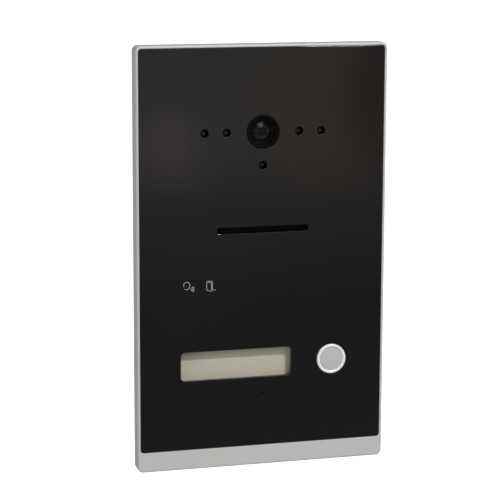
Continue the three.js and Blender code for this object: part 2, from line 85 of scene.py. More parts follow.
MM = 0.001
MERGE = 1e-6  # metres; points closer than this are one point
TINY = 1e-6  # millimetres; a length below this counts as zero
HOLD = 0.12  # flat strip kept beside a rounded edge, so that the flat beyond it stays flat
ARC_STEPS = 5
ROUND_STEPS = 14  # steps in each quarter of a circular outline
LATHE_STEPS = 72
FULL_TURN = 2 * math.pi
UPRIGHT = Matrix.Rotation(-math.pi / 2, 4, "X")  # turns the rear of a piece to face down
PANEL = "panel"
BUTTON = "call_button"


# ---------------------------------------------------------------- boxes and outlines


class Box:
    """The box of one of the frame's nodes, in millimetres."""

    def __init__(self, node):
        low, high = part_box(node)
        self.left, self.front, self.bottom = low / MM
        self.right, self.back, self.top = high / MM
        self.x = (self.left + self.right) / 2
        self.z = (self.bottom + self.top) / 2
        self.width = self.right - self.left
        self.height = self.top - self.bottom


class Outline:
    """A rounded rectangle seen from the front. A circle is one that is all corner."""

    def __init__(self, x, z, width, height, corner, steps=8):
        self.x = x
        self.z = z
        self.width = width
        self.height = height
        self.corner = corner
        self.steps = steps

    def grown(self, by):
        corner = max(self.corner + by, 0.05)
        return Outline(self.x, self.z, self.width + 2 * by, self.height + 2 * by, corner, self.steps)

    def points(self, depth):
        across = self.width / 2 - self.corner
        up = self.height / 2 - self.corner
        steps = self.steps if max(across, up) > TINY else self.steps - 1
        found = []
        for quarter, (side, level) in enumerate([(1, 1), (-1, 1), (-1, -1), (1, -1)]):
            for i in range(steps + 1):
                angle = (quarter + i / self.steps) * math.pi / 2
                x = self.x + side * across + self.corner * math.cos(angle)
                z = self.z + level * up + self.corner * math.sin(angle)
                found.append(Vector((x, depth, z)))
        return found


def outline_of(box, corner, grow=0.0, steps=8):
    return Outline(box.x, box.z, box.width + 2 * grow, box.height + 2 * grow, corner, steps)


def disc(x, z, radius):
    return Outline(x, z, 2 * radius, 2 * radius, radius, ROUND_STEPS)


def rounded(corners, closed=False, steps=ARC_STEPS):
    """Rounds a profile of (across, depth, radius) corners and returns (across, depth) points."""
    found = []
    last = len(corners) - 1
    for i, (across, depth, radius) in enumerate(corners):
        here = Vector((across, depth))
        if radius == 0 or (not closed and i in (0, last)):
            found.append(here)
            continue
        before = Vector(corners[i - 1][:2]) - here
        after = Vector(corners[(i + 1) % len(corners)][:2]) - here
        half = before.angle(after) / 2
        reach = radius / math.tan(half)
        before.normalize()
        after.normalize()
        centre = here + (before + after).normalized() * radius / math.sin(half)
        start = (here + before * reach - centre).normalized()
        end = (here + after * reach - centre).normalized()
        found.append(here + before * (reach + HOLD))
        found += [centre + start.slerp(end, k / steps) * radius for k in range(steps + 1)]
        found.append(here + after * (reach + HOLD))
    return found


def circle_arc(x, z, radius, start, end, steps=12):
    """Points (x, z) on an arc; the angles are in degrees."""
    angles = [math.radians(start + (end - start) * i / steps) for i in range(steps + 1)]
    return [Vector((x + radius * math.cos(a), z + radius * math.sin(a))) for a in angles]


def dome(radius, front, steep, steps):
    """Points (radius, depth) of a dome, from its top at the front out to the angle steep."""
    angles = [steep * i / steps for i in range(steps + 1)]
    return [Vector((radius * math.sin(a), front + radius - radius * math.cos(a))) for a in angles]


# ---------------------------------------------------------------- meshes


def loft(mesh, loops, closed=False):
    """Joins loops with quads and returns their rows of vertices. A loop of one point is a pole."""
    rows = [[mesh.verts.new(point * MM) for point in loop] for loop in loops]
    pairs = list(zip(rows, rows[1:]))
    if closed:
        pairs.append((rows[-1], rows[0]))
    for near, far in pairs:
        count = max(len(near), len(far))
        for i in range(count):
            j = (i + 1) % count
            ring = [near[i % len(near)], near[j % len(near)], far[j % len(far)], far[i % len(far)]]
            mesh.faces.new(dict.fromkeys(ring))
    return rows


def capped(mesh, loops):
    """Joins loops with quads and closes each end with one face."""
    rows = loft(mesh, loops)
    mesh.faces.new(rows[0])
    mesh.faces.new(rows[-1])


def fill(mesh, rows):
    """Closes a flat face whose border is the first row and whose holes are the others."""
    edges = []
    for row in rows:
        for i, vertex in enumerate(row):
            edges.append(mesh.edges.get((vertex, row[(i + 1) % len(row)])))
    bmesh.ops.triangle_fill(mesh, edges=edges, use_beauty=True)


def slab(outline, front, back, edge=0.15, holes=(), hole_edge=0.1):
    """A plate between two depths, with holes through it and its edges rounded."""
    mesh = bmesh.new()
    fronts = []
    backs = []
    borders = [(outline, -1, edge)] + [(hole, 1, hole_edge) for hole in holes]
    for border, inward, radius in borders:
        rim = radius + HOLD
        profile = rounded([(rim, front, 0), (0, front, radius), (0, back, radius), (rim, back, 0)])
        rows = loft(mesh, [border.grown(inward * p.x).points(p.y) for p in profile])
        fronts.append(rows[0])
        backs.append(rows[-1])
    fill(mesh, fronts)
    fill(mesh, backs)
    return mesh


def swept(stations):
    """A closed ring whose section passes through stations of (outline, growth, depth)."""
    mesh = bmesh.new()
    loft(mesh, [outline.grown(grow).points(depth) for outline, grow, depth in stations], closed=True)
    return mesh


def along(outline, points):
    return [(outline, point.x, point.y) for point in points]


def turned(profile, x, z, closed=False, steps=LATHE_STEPS):
    """A turned piece: (radius, depth) points spun about a Y axis through x, z."""
    mesh = bmesh.new()
    loops = []
    for radius, depth in profile:
        if radius < TINY:
            loops.append([Vector((x, depth, z))])
            continue
        angles = [FULL_TURN * i / steps for i in range(steps)]
        loops.append([Vector((x + radius * math.cos(a), depth, z + radius * math.sin(a))) for a in angles])
    loft(mesh, loops, closed)
    return mesh


def ribbon(mesh, points, width, front, back):
    """A flat printed line along (x, z) points, between two depths."""
    loops = []
    for i, here in enumerate(points):
        before = points[max(i - 1, 0)]
        after = points[min(i + 1, len(points) - 1)]
        along_line = (after - before).normalized()
        side = Vector((-along_line.y, along_line.x)) * width / 2
        left = here + side
        right = here - side
        loops.append([
            Vector((left.x, front, left.y)),
            Vector((right.x, front, right.y)),
            Vector((right.x, back, right.y)),
            Vector((left.x, back, left.y)),
        ])
    capped(mesh, loops)


def linked(name, mesh):
    """Links a mesh as an object at the origin."""
    data = bpy.data.meshes.new(name)
    mesh.to_mesh(data)
    mesh.free()
    thing = bpy.data.objects.new(name, data)
    bpy.context.scene.collection.objects.link(thing)
    return thing


def raw_object(name, mesh):
    """Merges a mesh's doubles, points its faces outwards and links it at the origin."""
    bmesh.ops.remove_doubles(mesh, verts=mesh.verts, dist=MERGE)
    bmesh.ops.recalc_face_normals(mesh, faces=mesh.faces)
    return linked(name, mesh)


def bake(thing):
    """Turns a piece and its modifiers into a plain mesh."""
    graph = bpy.context.evaluated_depsgraph_get()
    baked = bpy.data.meshes.new_from_object(thing.evaluated_get(graph), depsgraph=graph)
    thing.modifiers.clear()
    thing.data = baked


def combined(thing, others, operation):
    """Joins others to a piece or cuts them from it, and removes them."""
    for other in others:
        modifier = thing.modifiers.new("Shape", "BOOLEAN")
        modifier.solver = "EXACT"
        modifier.operation = operation
        modifier.object = other
    bake(thing)
    for other in others:
        bpy.data.objects.remove(other)
    return thing


def settle(thing, slot, nodes, body=PANEL, material=None, crease=35):
    """Gives a piece its finish and shading, and its place on a body of the frame."""
    thing.data.shade_smooth()
    thing.data.set_sharp_from_angle(angle=math.radians(crease))
    thing.data.materials.clear()
    thing.data.materials.append(material or finish_for(slot))
    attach(thing, body)
    if nodes:
        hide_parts(*nodes)
    return thing


# ---------------------------------------------------------------- node helpers


def add(tree, kind, inputs=None, **settings):
    """Adds a node; an input is a socket to link or a value to set."""
    node = tree.nodes.new(kind)
    for name, value in settings.items():
        setattr(node, name, value)
    for name, value in (inputs or {}).items():
        if isinstance(value, bpy.types.NodeSocket):
            tree.links.new(value, node.inputs[name])
        else:
            node.inputs[name].default_value = value
    return node


def new_material(name, **constants):
    """A material with one Principled shader whose plain values are set on its own sockets."""
    material = bpy.data.materials.new(name)
    material.use_nodes = True
    tree = material.node_tree
    shader = tree.nodes["Principled BSDF"]
    for socket, value in constants.items():
        shader.inputs[socket.replace("_", " ")].default_value = value
    return material, tree, shader


def place(tree, centre=(0, 0, 0), stretch=(1, 1, 1)):
    """Object coordinates, centred on a point in millimetres and stretched along each axis."""
    coordinates = add(tree, "ShaderNodeTexCoord").outputs["Object"]
    back = [-c * MM * s for c, s in zip(centre, stretch)]
    inputs = {"Vector": coordinates, "Location": back, "Scale": stretch}
    return add(tree, "ShaderNodeMapping", inputs).outputs["Vector"]


def noise(tree, where, size, detail=3.0, roughness=0.55):
    """Cloudy noise whose features are about size millimetres across."""
    inputs = {"Vector": where, "Scale": 1 / (size * MM), "Detail": detail, "Roughness": roughness}
    return add(tree, "ShaderNodeTexNoise", inputs).outputs["Fac"]


def cells(tree, where, size, output="Distance", feature="F1"):
    inputs = {"Vector": where, "Scale": 1 / (size * MM)}
    return add(tree, "ShaderNodeTexVoronoi", inputs, feature=feature).outputs[output]


def span(tree, value, low, high, start=0.3, stop=0.7):
    """Maps a value between start and stop smoothly to low and high."""
    inputs = {"Value": value, "From Min": start, "From Max": stop, "To Min": low, "To Max": high}
    return add(tree, "ShaderNodeMapRange", inputs, interpolation_type="SMOOTHSTEP").outputs["Result"]


def blend_colours(tree, factor, first, second, mode="MIX"):
    node = add(tree, "ShaderNodeMix", data_type="RGBA", blend_type=mode)
    for index, value in ((0, factor), (6, first), (7, second)):
        if isinstance(value, bpy.types.NodeSocket):
            tree.links.new(value, node.inputs[index])
        else:
            node.inputs[index].default_value = value
    return node.outputs[2]


def shade(colour, factor):
    return (colour[0] * factor, colour[1] * factor, colour[2] * factor, 1)


def raise_surface(tree, shader, heights):
    """Stacks bumps: (height, strength, depth in millimetres) from broad to fine."""
    normal = None
    for height, strength, depth in heights:
        inputs = {"Height": height, "Strength": strength, "Distance": depth * MM}
        if normal is not None:
            inputs["Normal"] = normal
        normal = add(tree, "ShaderNodeBump", inputs).outputs["Normal"]
    tree.links.new(normal, shader.inputs["Normal"])


def vary(tree, shader, where, colour, spread, size, rough, detail=3.0):
    """Cloudy variation of a base colour and, between two values, of the roughness."""
    cloud = noise(tree, where, size, detail)
    low = shade(colour, 1 - spread)
    high = shade(colour, 1 + spread)
    mixed = blend_colours(tree, span(tree, cloud, 0, 1), low, high)
    tree.links.new(mixed, shader.inputs["Base Color"])
    patch = noise(tree, where, size * 0.6, detail)
    tree.links.new(span(tree, patch, rough[0], rough[1]), shader.inputs["Roughness"])
    return mixed


# ---------------------------------------------------------------- finishes


def frame_coating():
    """Fine satin grey coating: faint orange peel, fine grain and slight clouding."""
    material, tree, shader = new_material("satin_grey_coating", IOR=1.45)
    where = place(tree)
    vary(tree, shader, where, bpy.context.scene.intercom_finishes.coating, 0.015, 22, (0.40, 0.48))
    peel = noise(tree, where, 1.1, 2)
    grain = noise(tree, where, 0.22, 4)
    raise_surface(tree, shader, [(peel, 0.25, 0.006), (grain, 0.35, 0.006)])
    return material


def printed_glass():
    """Gloss glass with black print behind it, a little wiped dust and faint smears."""
    material, tree, shader = new_material("black_printed_glass", IOR=1.5)
    where = place(tree)
    tint = bpy.context.scene.intercom_finishes.glass
    cloud = noise(tree, where, 40, 2)
    body = blend_colours(tree, span(tree, cloud, 0, 1), shade(tint, 0.9), shade(tint, 1.1))
    dust = noise(tree, where, 0.35, 2)
    specks = span(tree, dust, 0, 0.06, 0.74, 0.80)
    tree.links.new(blend_colours(tree, specks, body, (0.3, 0.3, 0.3, 1)), shader.inputs["Base Color"])
    smears = noise(tree, place(tree, stretch=(1, 1, 0.35)), 14, 5, 0.6)
    tree.links.new(span(tree, smears, 0.035, 0.075), shader.inputs["Roughness"])
    return material


def printed_symbol():
    """Translucent grey print, a little uneven as screen print is."""
    material, tree, shader = new_material("printed_symbol")
    where = place(tree)
    vary(tree, shader, where, bpy.context.scene.intercom_finishes.symbols, 0.25, 0.5, (0.35, 0.5))
    return material


def black_moulding():
    """Matte black plastic with a fine moulded grain."""
    material, tree, shader = new_material("black_moulding", Specular_IOR_Level=0.06)
    where = place(tree)
    vary(tree, shader, where, (0.003, 0.003, 0.0031), 0.15, 3, (0.42, 0.6))
    raise_surface(tree, shader, [(noise(tree, where, 0.16, 4), 0.4, 0.01)])
    return material


def clear_pane():
    """Clear polished plastic: a thin gloss skin through which what lies behind it shows."""
    material, tree, shader = new_material("clear_pane", IOR=1.49, Alpha=0.05, Specular_IOR_Level=0.15)
    haze = noise(tree, place(tree), 6, 4)
    tint = blend_colours(tree, span(tree, haze, 0, 1), (0.010, 0.011, 0.010, 1), (0.016, 0.017, 0.016, 1))
    tree.links.new(tint, shader.inputs["Base Color"])
    tree.links.new(span(tree, haze, 0.01, 0.05), shader.inputs["Roughness"])
    return material


def black_anodised():
    """Satin black anodised metal with fine turning marks."""
    material, tree, shader = new_material("black_anodised", Specular_IOR_Level=0.1)
    where = place(tree, stretch=(1, 6, 1))
    vary(tree, shader, where, (0.0035, 0.0035, 0.0037), 0.2, 1.5, (0.28, 0.42))
    raise_surface(tree, shader, [(noise(tree, where, 0.25, 3), 0.3, 0.008)])
    return material


# Share of the lens's radius, and the colour painted on the glass there: painted shade for the dark pupil, a
# dim ring of painted reflection of the inner elements around it, fading darker towards the rim.
PAINTED_LENS_SHADE_AND_REFLEX = (
    (0.34, (0.0010, 0.0008, 0.0010)),
    (0.46, (0.0090, 0.0085, 0.0080)),
    (0.70, (0.0070, 0.0068, 0.0066)),
    (0.92, (0.0030, 0.0028, 0.0028)),
)


def coated_lens():
    """Coated optical glass whose colour holds painted shade for a dark pupil and a painted reflection as a
    dim warm ring around it; the faint pink reflex comes from its specular tint.
    """
    material, tree, shader = new_material("coated_lens", IOR=1.62, Specular_IOR_Level=0.25)
    shader.inputs["Specular Tint"].default_value = (1.0, 0.80, 0.80, 1)
    lens = Box("lens_element")
    radial = place(tree, (lens.x, 0, lens.z), (1, 0, 1))
    distance = add(tree, "ShaderNodeVectorMath", {0: radial}, operation="LENGTH").outputs["Value"]
    # The ramp paints the pupil's shade and the ring of painted reflection around it into the base colour.
    ring = add(tree, "ShaderNodeValToRGB", {"Fac": span(tree, distance, 0, 1, 0, lens.width / 2 * MM)})
    ring.color_ramp.elements[0].color = (0.001, 0.001, 0.001, 1)
    ring.color_ramp.elements[1].color = (0.002, 0.002, 0.002, 1)
    for position, colour in PAINTED_LENS_SHADE_AND_REFLEX:
        ring.color_ramp.elements.new(position).color = (*colour, 1)
    cloud = span(tree, noise(tree, place(tree), 2.2, 2), 0.7, 1.3)
    lens_colour_with_painted_rings = blend_colours(tree, 1.0, ring.outputs["Color"], cloud, "MULTIPLY")
    tree.links.new(lens_colour_with_painted_rings, shader.inputs["Base Color"])
    wipe = noise(tree, place(tree), 1.2, 3)
    tree.links.new(span(tree, wipe, 0.02, 0.06), shader.inputs["Roughness"])
    return material


def sensor_silicon():
    """Image sensor under its cover glass: a dark field with fine rows of cells."""
    material, tree, shader = new_material("sensor_silicon", Metallic=0.6, Coat_Weight=1.0)
    where = place(tree)
    rows = add(tree, "ShaderNodeTexWave", {"Vector": where, "Scale": 900.0}, bands_direction="Z")
    stripes = blend_colours(tree, rows.outputs["Fac"], (0.03, 0.06, 0.10, 1), (0.10, 0.07, 0.15, 1))
    tree.links.new(stripes, shader.inputs["Base Color"])
    tree.links.new(span(tree, noise(tree, where, 1, 3), 0.12, 0.2), shader.inputs["Roughness"])
    return material


def circuit_board():
    """Green solder mask over copper tracks, with tinned pads and bare glass-fibre edges."""
    material, tree, shader = new_material("circuit_board", Coat_Weight=0.3)
    flat = add(tree, "ShaderNodeMapping", {"Vector": place(tree), "Rotation": (math.pi / 2, 0, 0)})
    tracks = add(tree, "ShaderNodeTexBrick", {
        "Vector": flat.outputs["Vector"], "Scale": 1.0, "Mortar Size": 0.22 * MM,
        "Brick Width": 6.1 * MM, "Row Height": 1.9 * MM,
    }).outputs["Fac"]
    pads = span(tree, cells(tree, place(tree), 4.5), 1, 0, 0.10, 0.12)
    mask = blend_colours(tree, tracks, (0.012, 0.085, 0.035, 1), (0.03, 0.16, 0.07, 1))
    colour = blend_colours(tree, pads, mask, (0.55, 0.52, 0.45, 1))
    tree.links.new(colour, shader.inputs["Base Color"])
    tree.links.new(pads, shader.inputs["Metallic"])
    tree.links.new(span(tree, noise(tree, place(tree), 2, 3), 0.3, 0.45), shader.inputs["Roughness"])
    raise_surface(tree, shader, [(tracks, 0.5, 0.03)])
    return material


def infrared_epoxy():
    """Near-black epoxy that passes infrared, satin with a slight brown body."""
    material, tree, shader = new_material("infrared_epoxy", Specular_IOR_Level=0.1)
    where = place(tree)
    vary(tree, shader, where, (0.036, 0.031, 0.027), 0.3, 1.2, (0.40, 0.50))
    raise_surface(tree, shader, [(noise(tree, where, 0.6, 2), 0.1, 0.01)])
    return material


def open_foam():
    """Dark open-cell foam."""
    material, tree, shader = new_material("open_foam")
    where = place(tree)
    vary(tree, shader, where, (0.02, 0.02, 0.021), 0.4, 0.5, (0.85, 0.98))
    raise_surface(tree, shader, [(cells(tree, where, 0.45), 1.0, 0.12)])
    return material


def black_tape():
    """Thin black adhesive foam tape with a woven carrier."""
    material, tree, shader = new_material("black_tape")
    where = place(tree)
    vary(tree, shader, where, (0.012, 0.012, 0.012), 0.2, 1.0, (0.6, 0.8))
    raise_surface(tree, shader, [(cells(tree, where, 0.3), 0.5, 0.03)])
    return material


def pressed_paper():
    """Pressed paper of a loudspeaker's cone, with loose fibres."""
    material, tree, shader = new_material("pressed_paper")
    where = place(tree, stretch=(1, 3, 2))
    vary(tree, shader, where, (0.035, 0.032, 0.03), 0.35, 0.8, (0.75, 0.95), 6)
    raise_surface(tree, shader, [(noise(tree, where, 0.4, 6, 0.7), 0.6, 0.05)])
    return material


def zinc_plate():
    """Bright zinc plate on steel: soft spangle, rolling lines and dull patches."""
    material, tree, shader = new_material("zinc_plate", Metallic=1.0)
    where = place(tree)
    spangle = cells(tree, where, 2.6, "Color")
    grey = add(tree, "ShaderNodeRGBToBW", {"Color": spangle}).outputs["Val"]
    base = blend_colours(tree, span(tree, grey, 0, 1, 0, 1), (0.50, 0.51, 0.52, 1), (0.63, 0.64, 0.65, 1))
    dull = span(tree, noise(tree, where, 9, 4), 0, 0.5, 0.5, 0.75)
    tree.links.new(blend_colours(tree, dull, base, (0.42, 0.42, 0.41, 1)), shader.inputs["Base Color"])
    lines = noise(tree, place(tree, stretch=(1, 1, 0.06)), 0.3, 3)
    tree.links.new(span(tree, lines, 0.26, 0.46), shader.inputs["Roughness"])
    raise_surface(tree, shader, [(grey, 0.15, 0.01), (lines, 0.15, 0.006)])
    return material


def cream_card():
    """Blank cream card with fine paper fibres."""
    material, tree, shader = new_material("cream_card", Specular_IOR_Level=0.3)
    where = place(tree, stretch=(1, 1, 2.5))
    vary(tree, shader, where, bpy.context.scene.intercom_finishes.card, 0.018, 1.6, (0.7, 0.85), 6)
    raise_surface(tree, shader, [(noise(tree, where, 0.25, 5, 0.65), 0.35, 0.01)])
    return material


def white_moulding():
    """Glossy translucent white plastic."""
    material, tree, shader = new_material("white_moulding", IOR=1.5, Subsurface_Weight=0.12)
    shader.inputs["Subsurface Radius"].default_value = (0.8 * MM, 0.8 * MM, 0.75 * MM)
    where = place(tree)
    vary(tree, shader, where, bpy.context.scene.intercom_finishes.ring, 0.01, 3, (0.22, 0.3))
    raise_surface(tree, shader, [(noise(tree, where, 0.8, 3), 0.08, 0.01)])
    return material


def satin_button():
    """Satin grey lacquer on the button's cap, with fine grain and a little finger wear."""
    material, tree, shader = new_material("satin_button", Coat_Weight=0.15, Coat_Roughness=0.3)
    cap = Box("button_cap")
    centred = place(tree, (cap.x, 0, cap.z), (1, 0, 1))
    distance = add(tree, "ShaderNodeVectorMath", {0: centred}, operation="LENGTH").outputs["Value"]
    colour = bpy.context.scene.intercom_finishes.button
    worn = span(tree, distance, 1, 0, 0.5 * MM, 4.5 * MM)
    cloud = noise(tree, place(tree), 1.8, 4)
    wear = add(tree, "ShaderNodeMath", {0: worn, 1: cloud}, operation="MULTIPLY").outputs["Value"]
    mixed = blend_colours(tree, wear, shade(colour, 0.99), shade(colour, 1.04))
    tree.links.new(mixed, shader.inputs["Base Color"])
    tree.links.new(span(tree, wear, 0.42, 0.34, 0, 0.7), shader.inputs["Roughness"])
    raise_surface(tree, shader, [(noise(tree, place(tree), 0.18, 4), 0.3, 0.006)])
    return material


def black_rubber():
    """Matte moulded rubber with a trace of bloom."""
    material, tree, shader = new_material("black_rubber", Specular_IOR_Level=0.3)
    where = place(tree)
    vary(tree, shader, where, (0.018, 0.018, 0.018), 0.3, 2.5, (0.65, 0.88))
    raise_surface(tree, shader, [(noise(tree, where, 0.3, 4), 0.4, 0.02)])
    return material


def green_moulding():
    """Green moulded plastic of the terminal block."""
    material, tree, shader = new_material("green_moulding")
    where = place(tree)
    vary(tree, shader, where, (0.035, 0.20, 0.075), 0.08, 2, (0.3, 0.45))
    raise_surface(tree, shader, [(noise(tree, where, 0.2, 3), 0.25, 0.008)])
    return material


def grey_moulding():
    """Dark grey moulded housing plastic with an eroded grain."""
    material, tree, shader = new_material("grey_moulding")
    where = place(tree)
    vary(tree, shader, where, bpy.context.scene.intercom_finishes.housing, 0.08, 12, (0.48, 0.62))
    grain = cells(tree, where, 0.55, feature="SMOOTH_F1")
    raise_surface(tree, shader, [(noise(tree, where, 3, 3), 0.15, 0.03), (grain, 0.5, 0.03)])
    return material


FINISHES = {
    "frame_paint": frame_coating,
    "black_glass": printed_glass,
    "black_tape": black_tape,
    "black_plastic": black_moulding,
    "clear_plastic": clear_pane,
    "black_metal": black_anodised,
    "lens_glass": coated_lens,
    "sensor_chip": sensor_silicon,
    "circuit_board": circuit_board,
    "infrared_epoxy": infrared_epoxy,
    "black_foam": open_foam,
    "paper_cone": pressed_paper,
    "zinc_steel": zinc_plate,
    "label_paper": cream_card,
    "white_plastic": white_moulding,
    "button_satin": satin_button,
    "black_rubber": black_rubber,
    "terminal_green": green_moulding,
    "grey_plastic": grey_moulding,
}
made_finishes = {}


def finish_for(slot):
    """The finish of one of the record's material slots, made when it is first wanted."""
    if slot not in made_finishes:
        made_finishes[slot] = FINISHES[slot]()
    return made_finishes[slot]


# ---------------------------------------------------------------- geometry node trees


class Tree:
    """A geometry node tree with named inputs, that takes a geometry and gives one back."""

    def __init__(self, name):
        self.tree = bpy.data.node_groups.new(name, "GeometryNodeTree")
        self.identifiers = {}
        self.tree.interface.new_socket("Geometry", in_out="OUTPUT", socket_type="NodeSocketGeometry")
        self.socket("Geometry", "NodeSocketGeometry")
        self.group_in = self.tree.nodes.new("NodeGroupInput")

    def socket(self, name, kind):
        made = self.tree.interface.new_socket(name, in_out="INPUT", socket_type=kind)
        self.identifiers[name] = made.identifier

    def named_inputs(self, **kinds):
        for name, kind in kinds.items():
            self.socket(name, kind)

    def given(self, name):
        return self.group_in.outputs[name]

    def add(self, kind, inputs=None, **settings):
        return add(self.tree, kind, inputs, **settings)

    def finish(self, geometry):
        """Ends the tree in Realize Instances and Set Material."""
        real = self.add("GeometryNodeRealizeInstances", {"Geometry": geometry})
        inputs = {"Geometry": real.outputs[0], "Material": self.given("Finish")}
        painted = self.add("GeometryNodeSetMaterial", inputs)
        group_out = self.tree.nodes.new("NodeGroupOutput")
        self.tree.links.new(painted.outputs[0], group_out.inputs["Geometry"])
        return self

    def applied(self, thing, **values):
        """Runs the tree on an object with these inputs and keeps the result as its mesh."""
        modifier = thing.modifiers.new(self.tree.name, "NODES")
        modifier.node_group = self.tree
        for name, value in values.items():
            modifier[self.identifiers[name]] = value
        bake(thing)
        return thing


def copies_tree():
    """One piece on each point, each turned by its own seeded angle about the Y axis."""
    made = Tree("Copies on points")
    made.named_inputs(Piece="NodeSocketObject", Turn="NodeSocketFloat", Seed="NodeSocketInt")
    made.named_inputs(Finish="NodeSocketMaterial")
    piece = made.add("GeometryNodeObjectInfo", {"Object": made.given("Piece")})
    angle = made.add("FunctionNodeRandomValue", data_type="FLOAT")
    made.tree.links.new(made.given("Turn"), angle.inputs[3])
    made.tree.links.new(made.given("Seed"), angle.inputs["Seed"])
    euler = made.add("ShaderNodeCombineXYZ", {"Y": angle.outputs[1]})
    turn = made.add("FunctionNodeEulerToRotation", {"Euler": euler.outputs[0]})
    placed = made.add("GeometryNodeInstanceOnPoints", {
        "Points": made.given("Geometry"),
        "Instance": piece.outputs["Geometry"],
        "Rotation": turn.outputs[0],
    })
    return made.finish(placed.outputs[0])


def perforation_tree():
    """Rows of round holes through a sheet, every second row shifted by half the pitch."""
    made = Tree("Perforated sheet")
    made.named_inputs(Columns="NodeSocketInt", Rows="NodeSocketInt", Pitch="NodeSocketFloat")
    made.named_inputs(Hole="NodeSocketFloat", Start="NodeSocketVector", Finish="NodeSocketMaterial")
    step = made.add("ShaderNodeCombineXYZ", {"X": made.given("Pitch")})
    line = made.add("GeometryNodeMeshLine", {"Count": made.given("Columns"), "Offset": step.outputs[0]})
    size = {"Vertices": 12, "Radius": made.given("Hole"), "Depth": 4 * MM}
    pin = made.add("GeometryNodeMeshCylinder", size)
    upright = made.add("GeometryNodeTransform", {"Geometry": pin.outputs[0], "Rotation": (math.pi / 2, 0, 0)})
    across = {"Points": line.outputs[0], "Instance": upright.outputs[0]}
    row = made.add("GeometryNodeInstanceOnPoints", across)
    rise = made.add("ShaderNodeMath", {0: made.given("Pitch"), 1: math.sqrt(3) / 2}, operation="MULTIPLY")
    lift = made.add("ShaderNodeCombineXYZ", {"Z": rise.outputs[0]})
    column = made.add("GeometryNodeMeshLine", {
        "Count": made.given("Rows"), "Start Location": made.given("Start"), "Offset": lift.outputs[0],
    })
    index = made.add("GeometryNodeInputIndex")
    odd = made.add("ShaderNodeMath", {0: index.outputs[0], 1: 2.0}, operation="MODULO")
    half = made.add("ShaderNodeMath", {0: made.given("Pitch"), 1: 0.5}, operation="MULTIPLY")
    shift = made.add("ShaderNodeMath", {0: odd.outputs[0], 1: half.outputs[0]}, operation="MULTIPLY")
    aside = made.add("ShaderNodeCombineXYZ", {"X": shift.outputs[0]})
    moved = {"Geometry": column.outputs[0], "Offset": aside.outputs[0]}
    staggered = made.add("GeometryNodeSetPosition", moved)
    upwards = {"Points": staggered.outputs[0], "Instance": row.outputs[0]}
    pins = made.add("GeometryNodeInstanceOnPoints", upwards)
    real = made.add("GeometryNodeRealizeInstances", {"Geometry": pins.outputs[0]})
    cut = made.add("GeometryNodeMeshBoolean", operation="DIFFERENCE", solver="EXACT")
    made.tree.links.new(made.given("Geometry"), cut.inputs["Mesh 1"])
    made.tree.links.new(real.outputs[0], cut.inputs["Mesh 2"])
    return made.finish(cut.outputs[0])


def ribs_tree():
    """A row of ribs joined to a cover, each a pitch above the last."""
    made = Tree("Ribbed cover")
    made.named_inputs(Rib="NodeSocketObject", Count="NodeSocketInt", Pitch="NodeSocketFloat")
    made.named_inputs(Finish="NodeSocketMaterial")
    rib = made.add("GeometryNodeObjectInfo", {"Object": made.given("Rib")})
    lift = made.add("ShaderNodeCombineXYZ", {"Z": made.given("Pitch")})
    line = made.add("GeometryNodeMeshLine", {"Count": made.given("Count"), "Offset": lift.outputs[0]})
    ribs = made.add("GeometryNodeInstanceOnPoints", {
        "Points": line.outputs[0], "Instance": rib.outputs["Geometry"],
    })
    real = made.add("GeometryNodeRealizeInstances", {"Geometry": ribs.outputs[0]})
    joined = made.add("GeometryNodeMeshBoolean", operation="UNION", solver="EXACT")
    made.tree.links.new(made.given("Geometry"), joined.inputs["Mesh 2"])
    made.tree.links.new(real.outputs[0], joined.inputs["Mesh 2"])
    return made.finish(joined.outputs[0])


def coil_tree():
    """A compression spring wound along the Y axis."""
    made = Tree("Coil spring")
    made.named_inputs(Turns="NodeSocketFloat", Radius="NodeSocketFloat", Length="NodeSocketFloat")
    made.named_inputs(Wire="NodeSocketFloat", Start="NodeSocketVector", Finish="NodeSocketMaterial")
    spiral = made.add("GeometryNodeCurveSpiral", {
        "Resolution": 28, "Rotations": made.given("Turns"), "Start Radius": made.given("Radius"),
        "End Radius": made.given("Radius"), "Height": made.given("Length"),
    })
    section = made.add("GeometryNodeCurvePrimitiveCircle", {"Resolution": 10, "Radius": made.given("Wire")})
    wire = made.add("GeometryNodeCurveToMesh", {
        "Curve": spiral.outputs[0], "Profile Curve": section.outputs[0], "Fill Caps": True,
    })
    laid = made.add("GeometryNodeTransform", {
        "Geometry": wire.outputs[0], "Rotation": (-math.pi / 2, 0, 0), "Translation": made.given("Start"),
    })
    return made.finish(laid.outputs[0])


# ---------------------------------------------------------------- what a user may change


class IntercomSizes(bpy.types.PropertyGroup):
    """Sizes of the details that the frame of the part leaves open."""

    frame_edge: FloatProperty(
        name="Frame edge", description="Radius of the frame's outer front edge",
        default=0.8 * MM, min=0.1 * MM, max=0.9 * MM, unit="LENGTH",
    )
    glass_edge: FloatProperty(
        name="Glass edge", description="Radius of the polished edge of the glass",
        default=0.22 * MM, min=0.05 * MM, max=0.6 * MM, unit="LENGTH",
    )
    symbol_line: FloatProperty(
        name="Symbol line", description="Width of the lines of the printed symbols",
        default=0.3 * MM, min=0.1 * MM, max=0.6 * MM, unit="LENGTH",
    )
    grille_pitch: FloatProperty(
        name="Grille pitch", description="Distance between neighbouring holes of the speaker grille",
        default=1.15 * MM, min=0.8 * MM, max=2 * MM, unit="LENGTH",
    )
    grille_hole: FloatProperty(
        name="Grille hole", description="Radius of each hole of the speaker grille",
        default=0.38 * MM, min=0.1 * MM, max=0.8 * MM, unit="LENGTH",
    )
    spring_turns: FloatProperty(
        name="Spring turns", description="Turns of the button's return spring",
        default=5.0, min=3.0, max=8.0,
    )
    cover_ribs: IntProperty(
        name="Cover ribs", description="Stiffening ribs on the rear cover", default=6, min=1, max=6,
    )
    screw_seed: IntProperty(
        name="Screw turn seed", description="Seed of the angles at which the screws were left", default=4,
    )


def colour_property(name, description, default):
    return FloatVectorProperty(
        name=name, description=description, subtype="COLOR", size=3, min=0, max=1, default=default,
    )


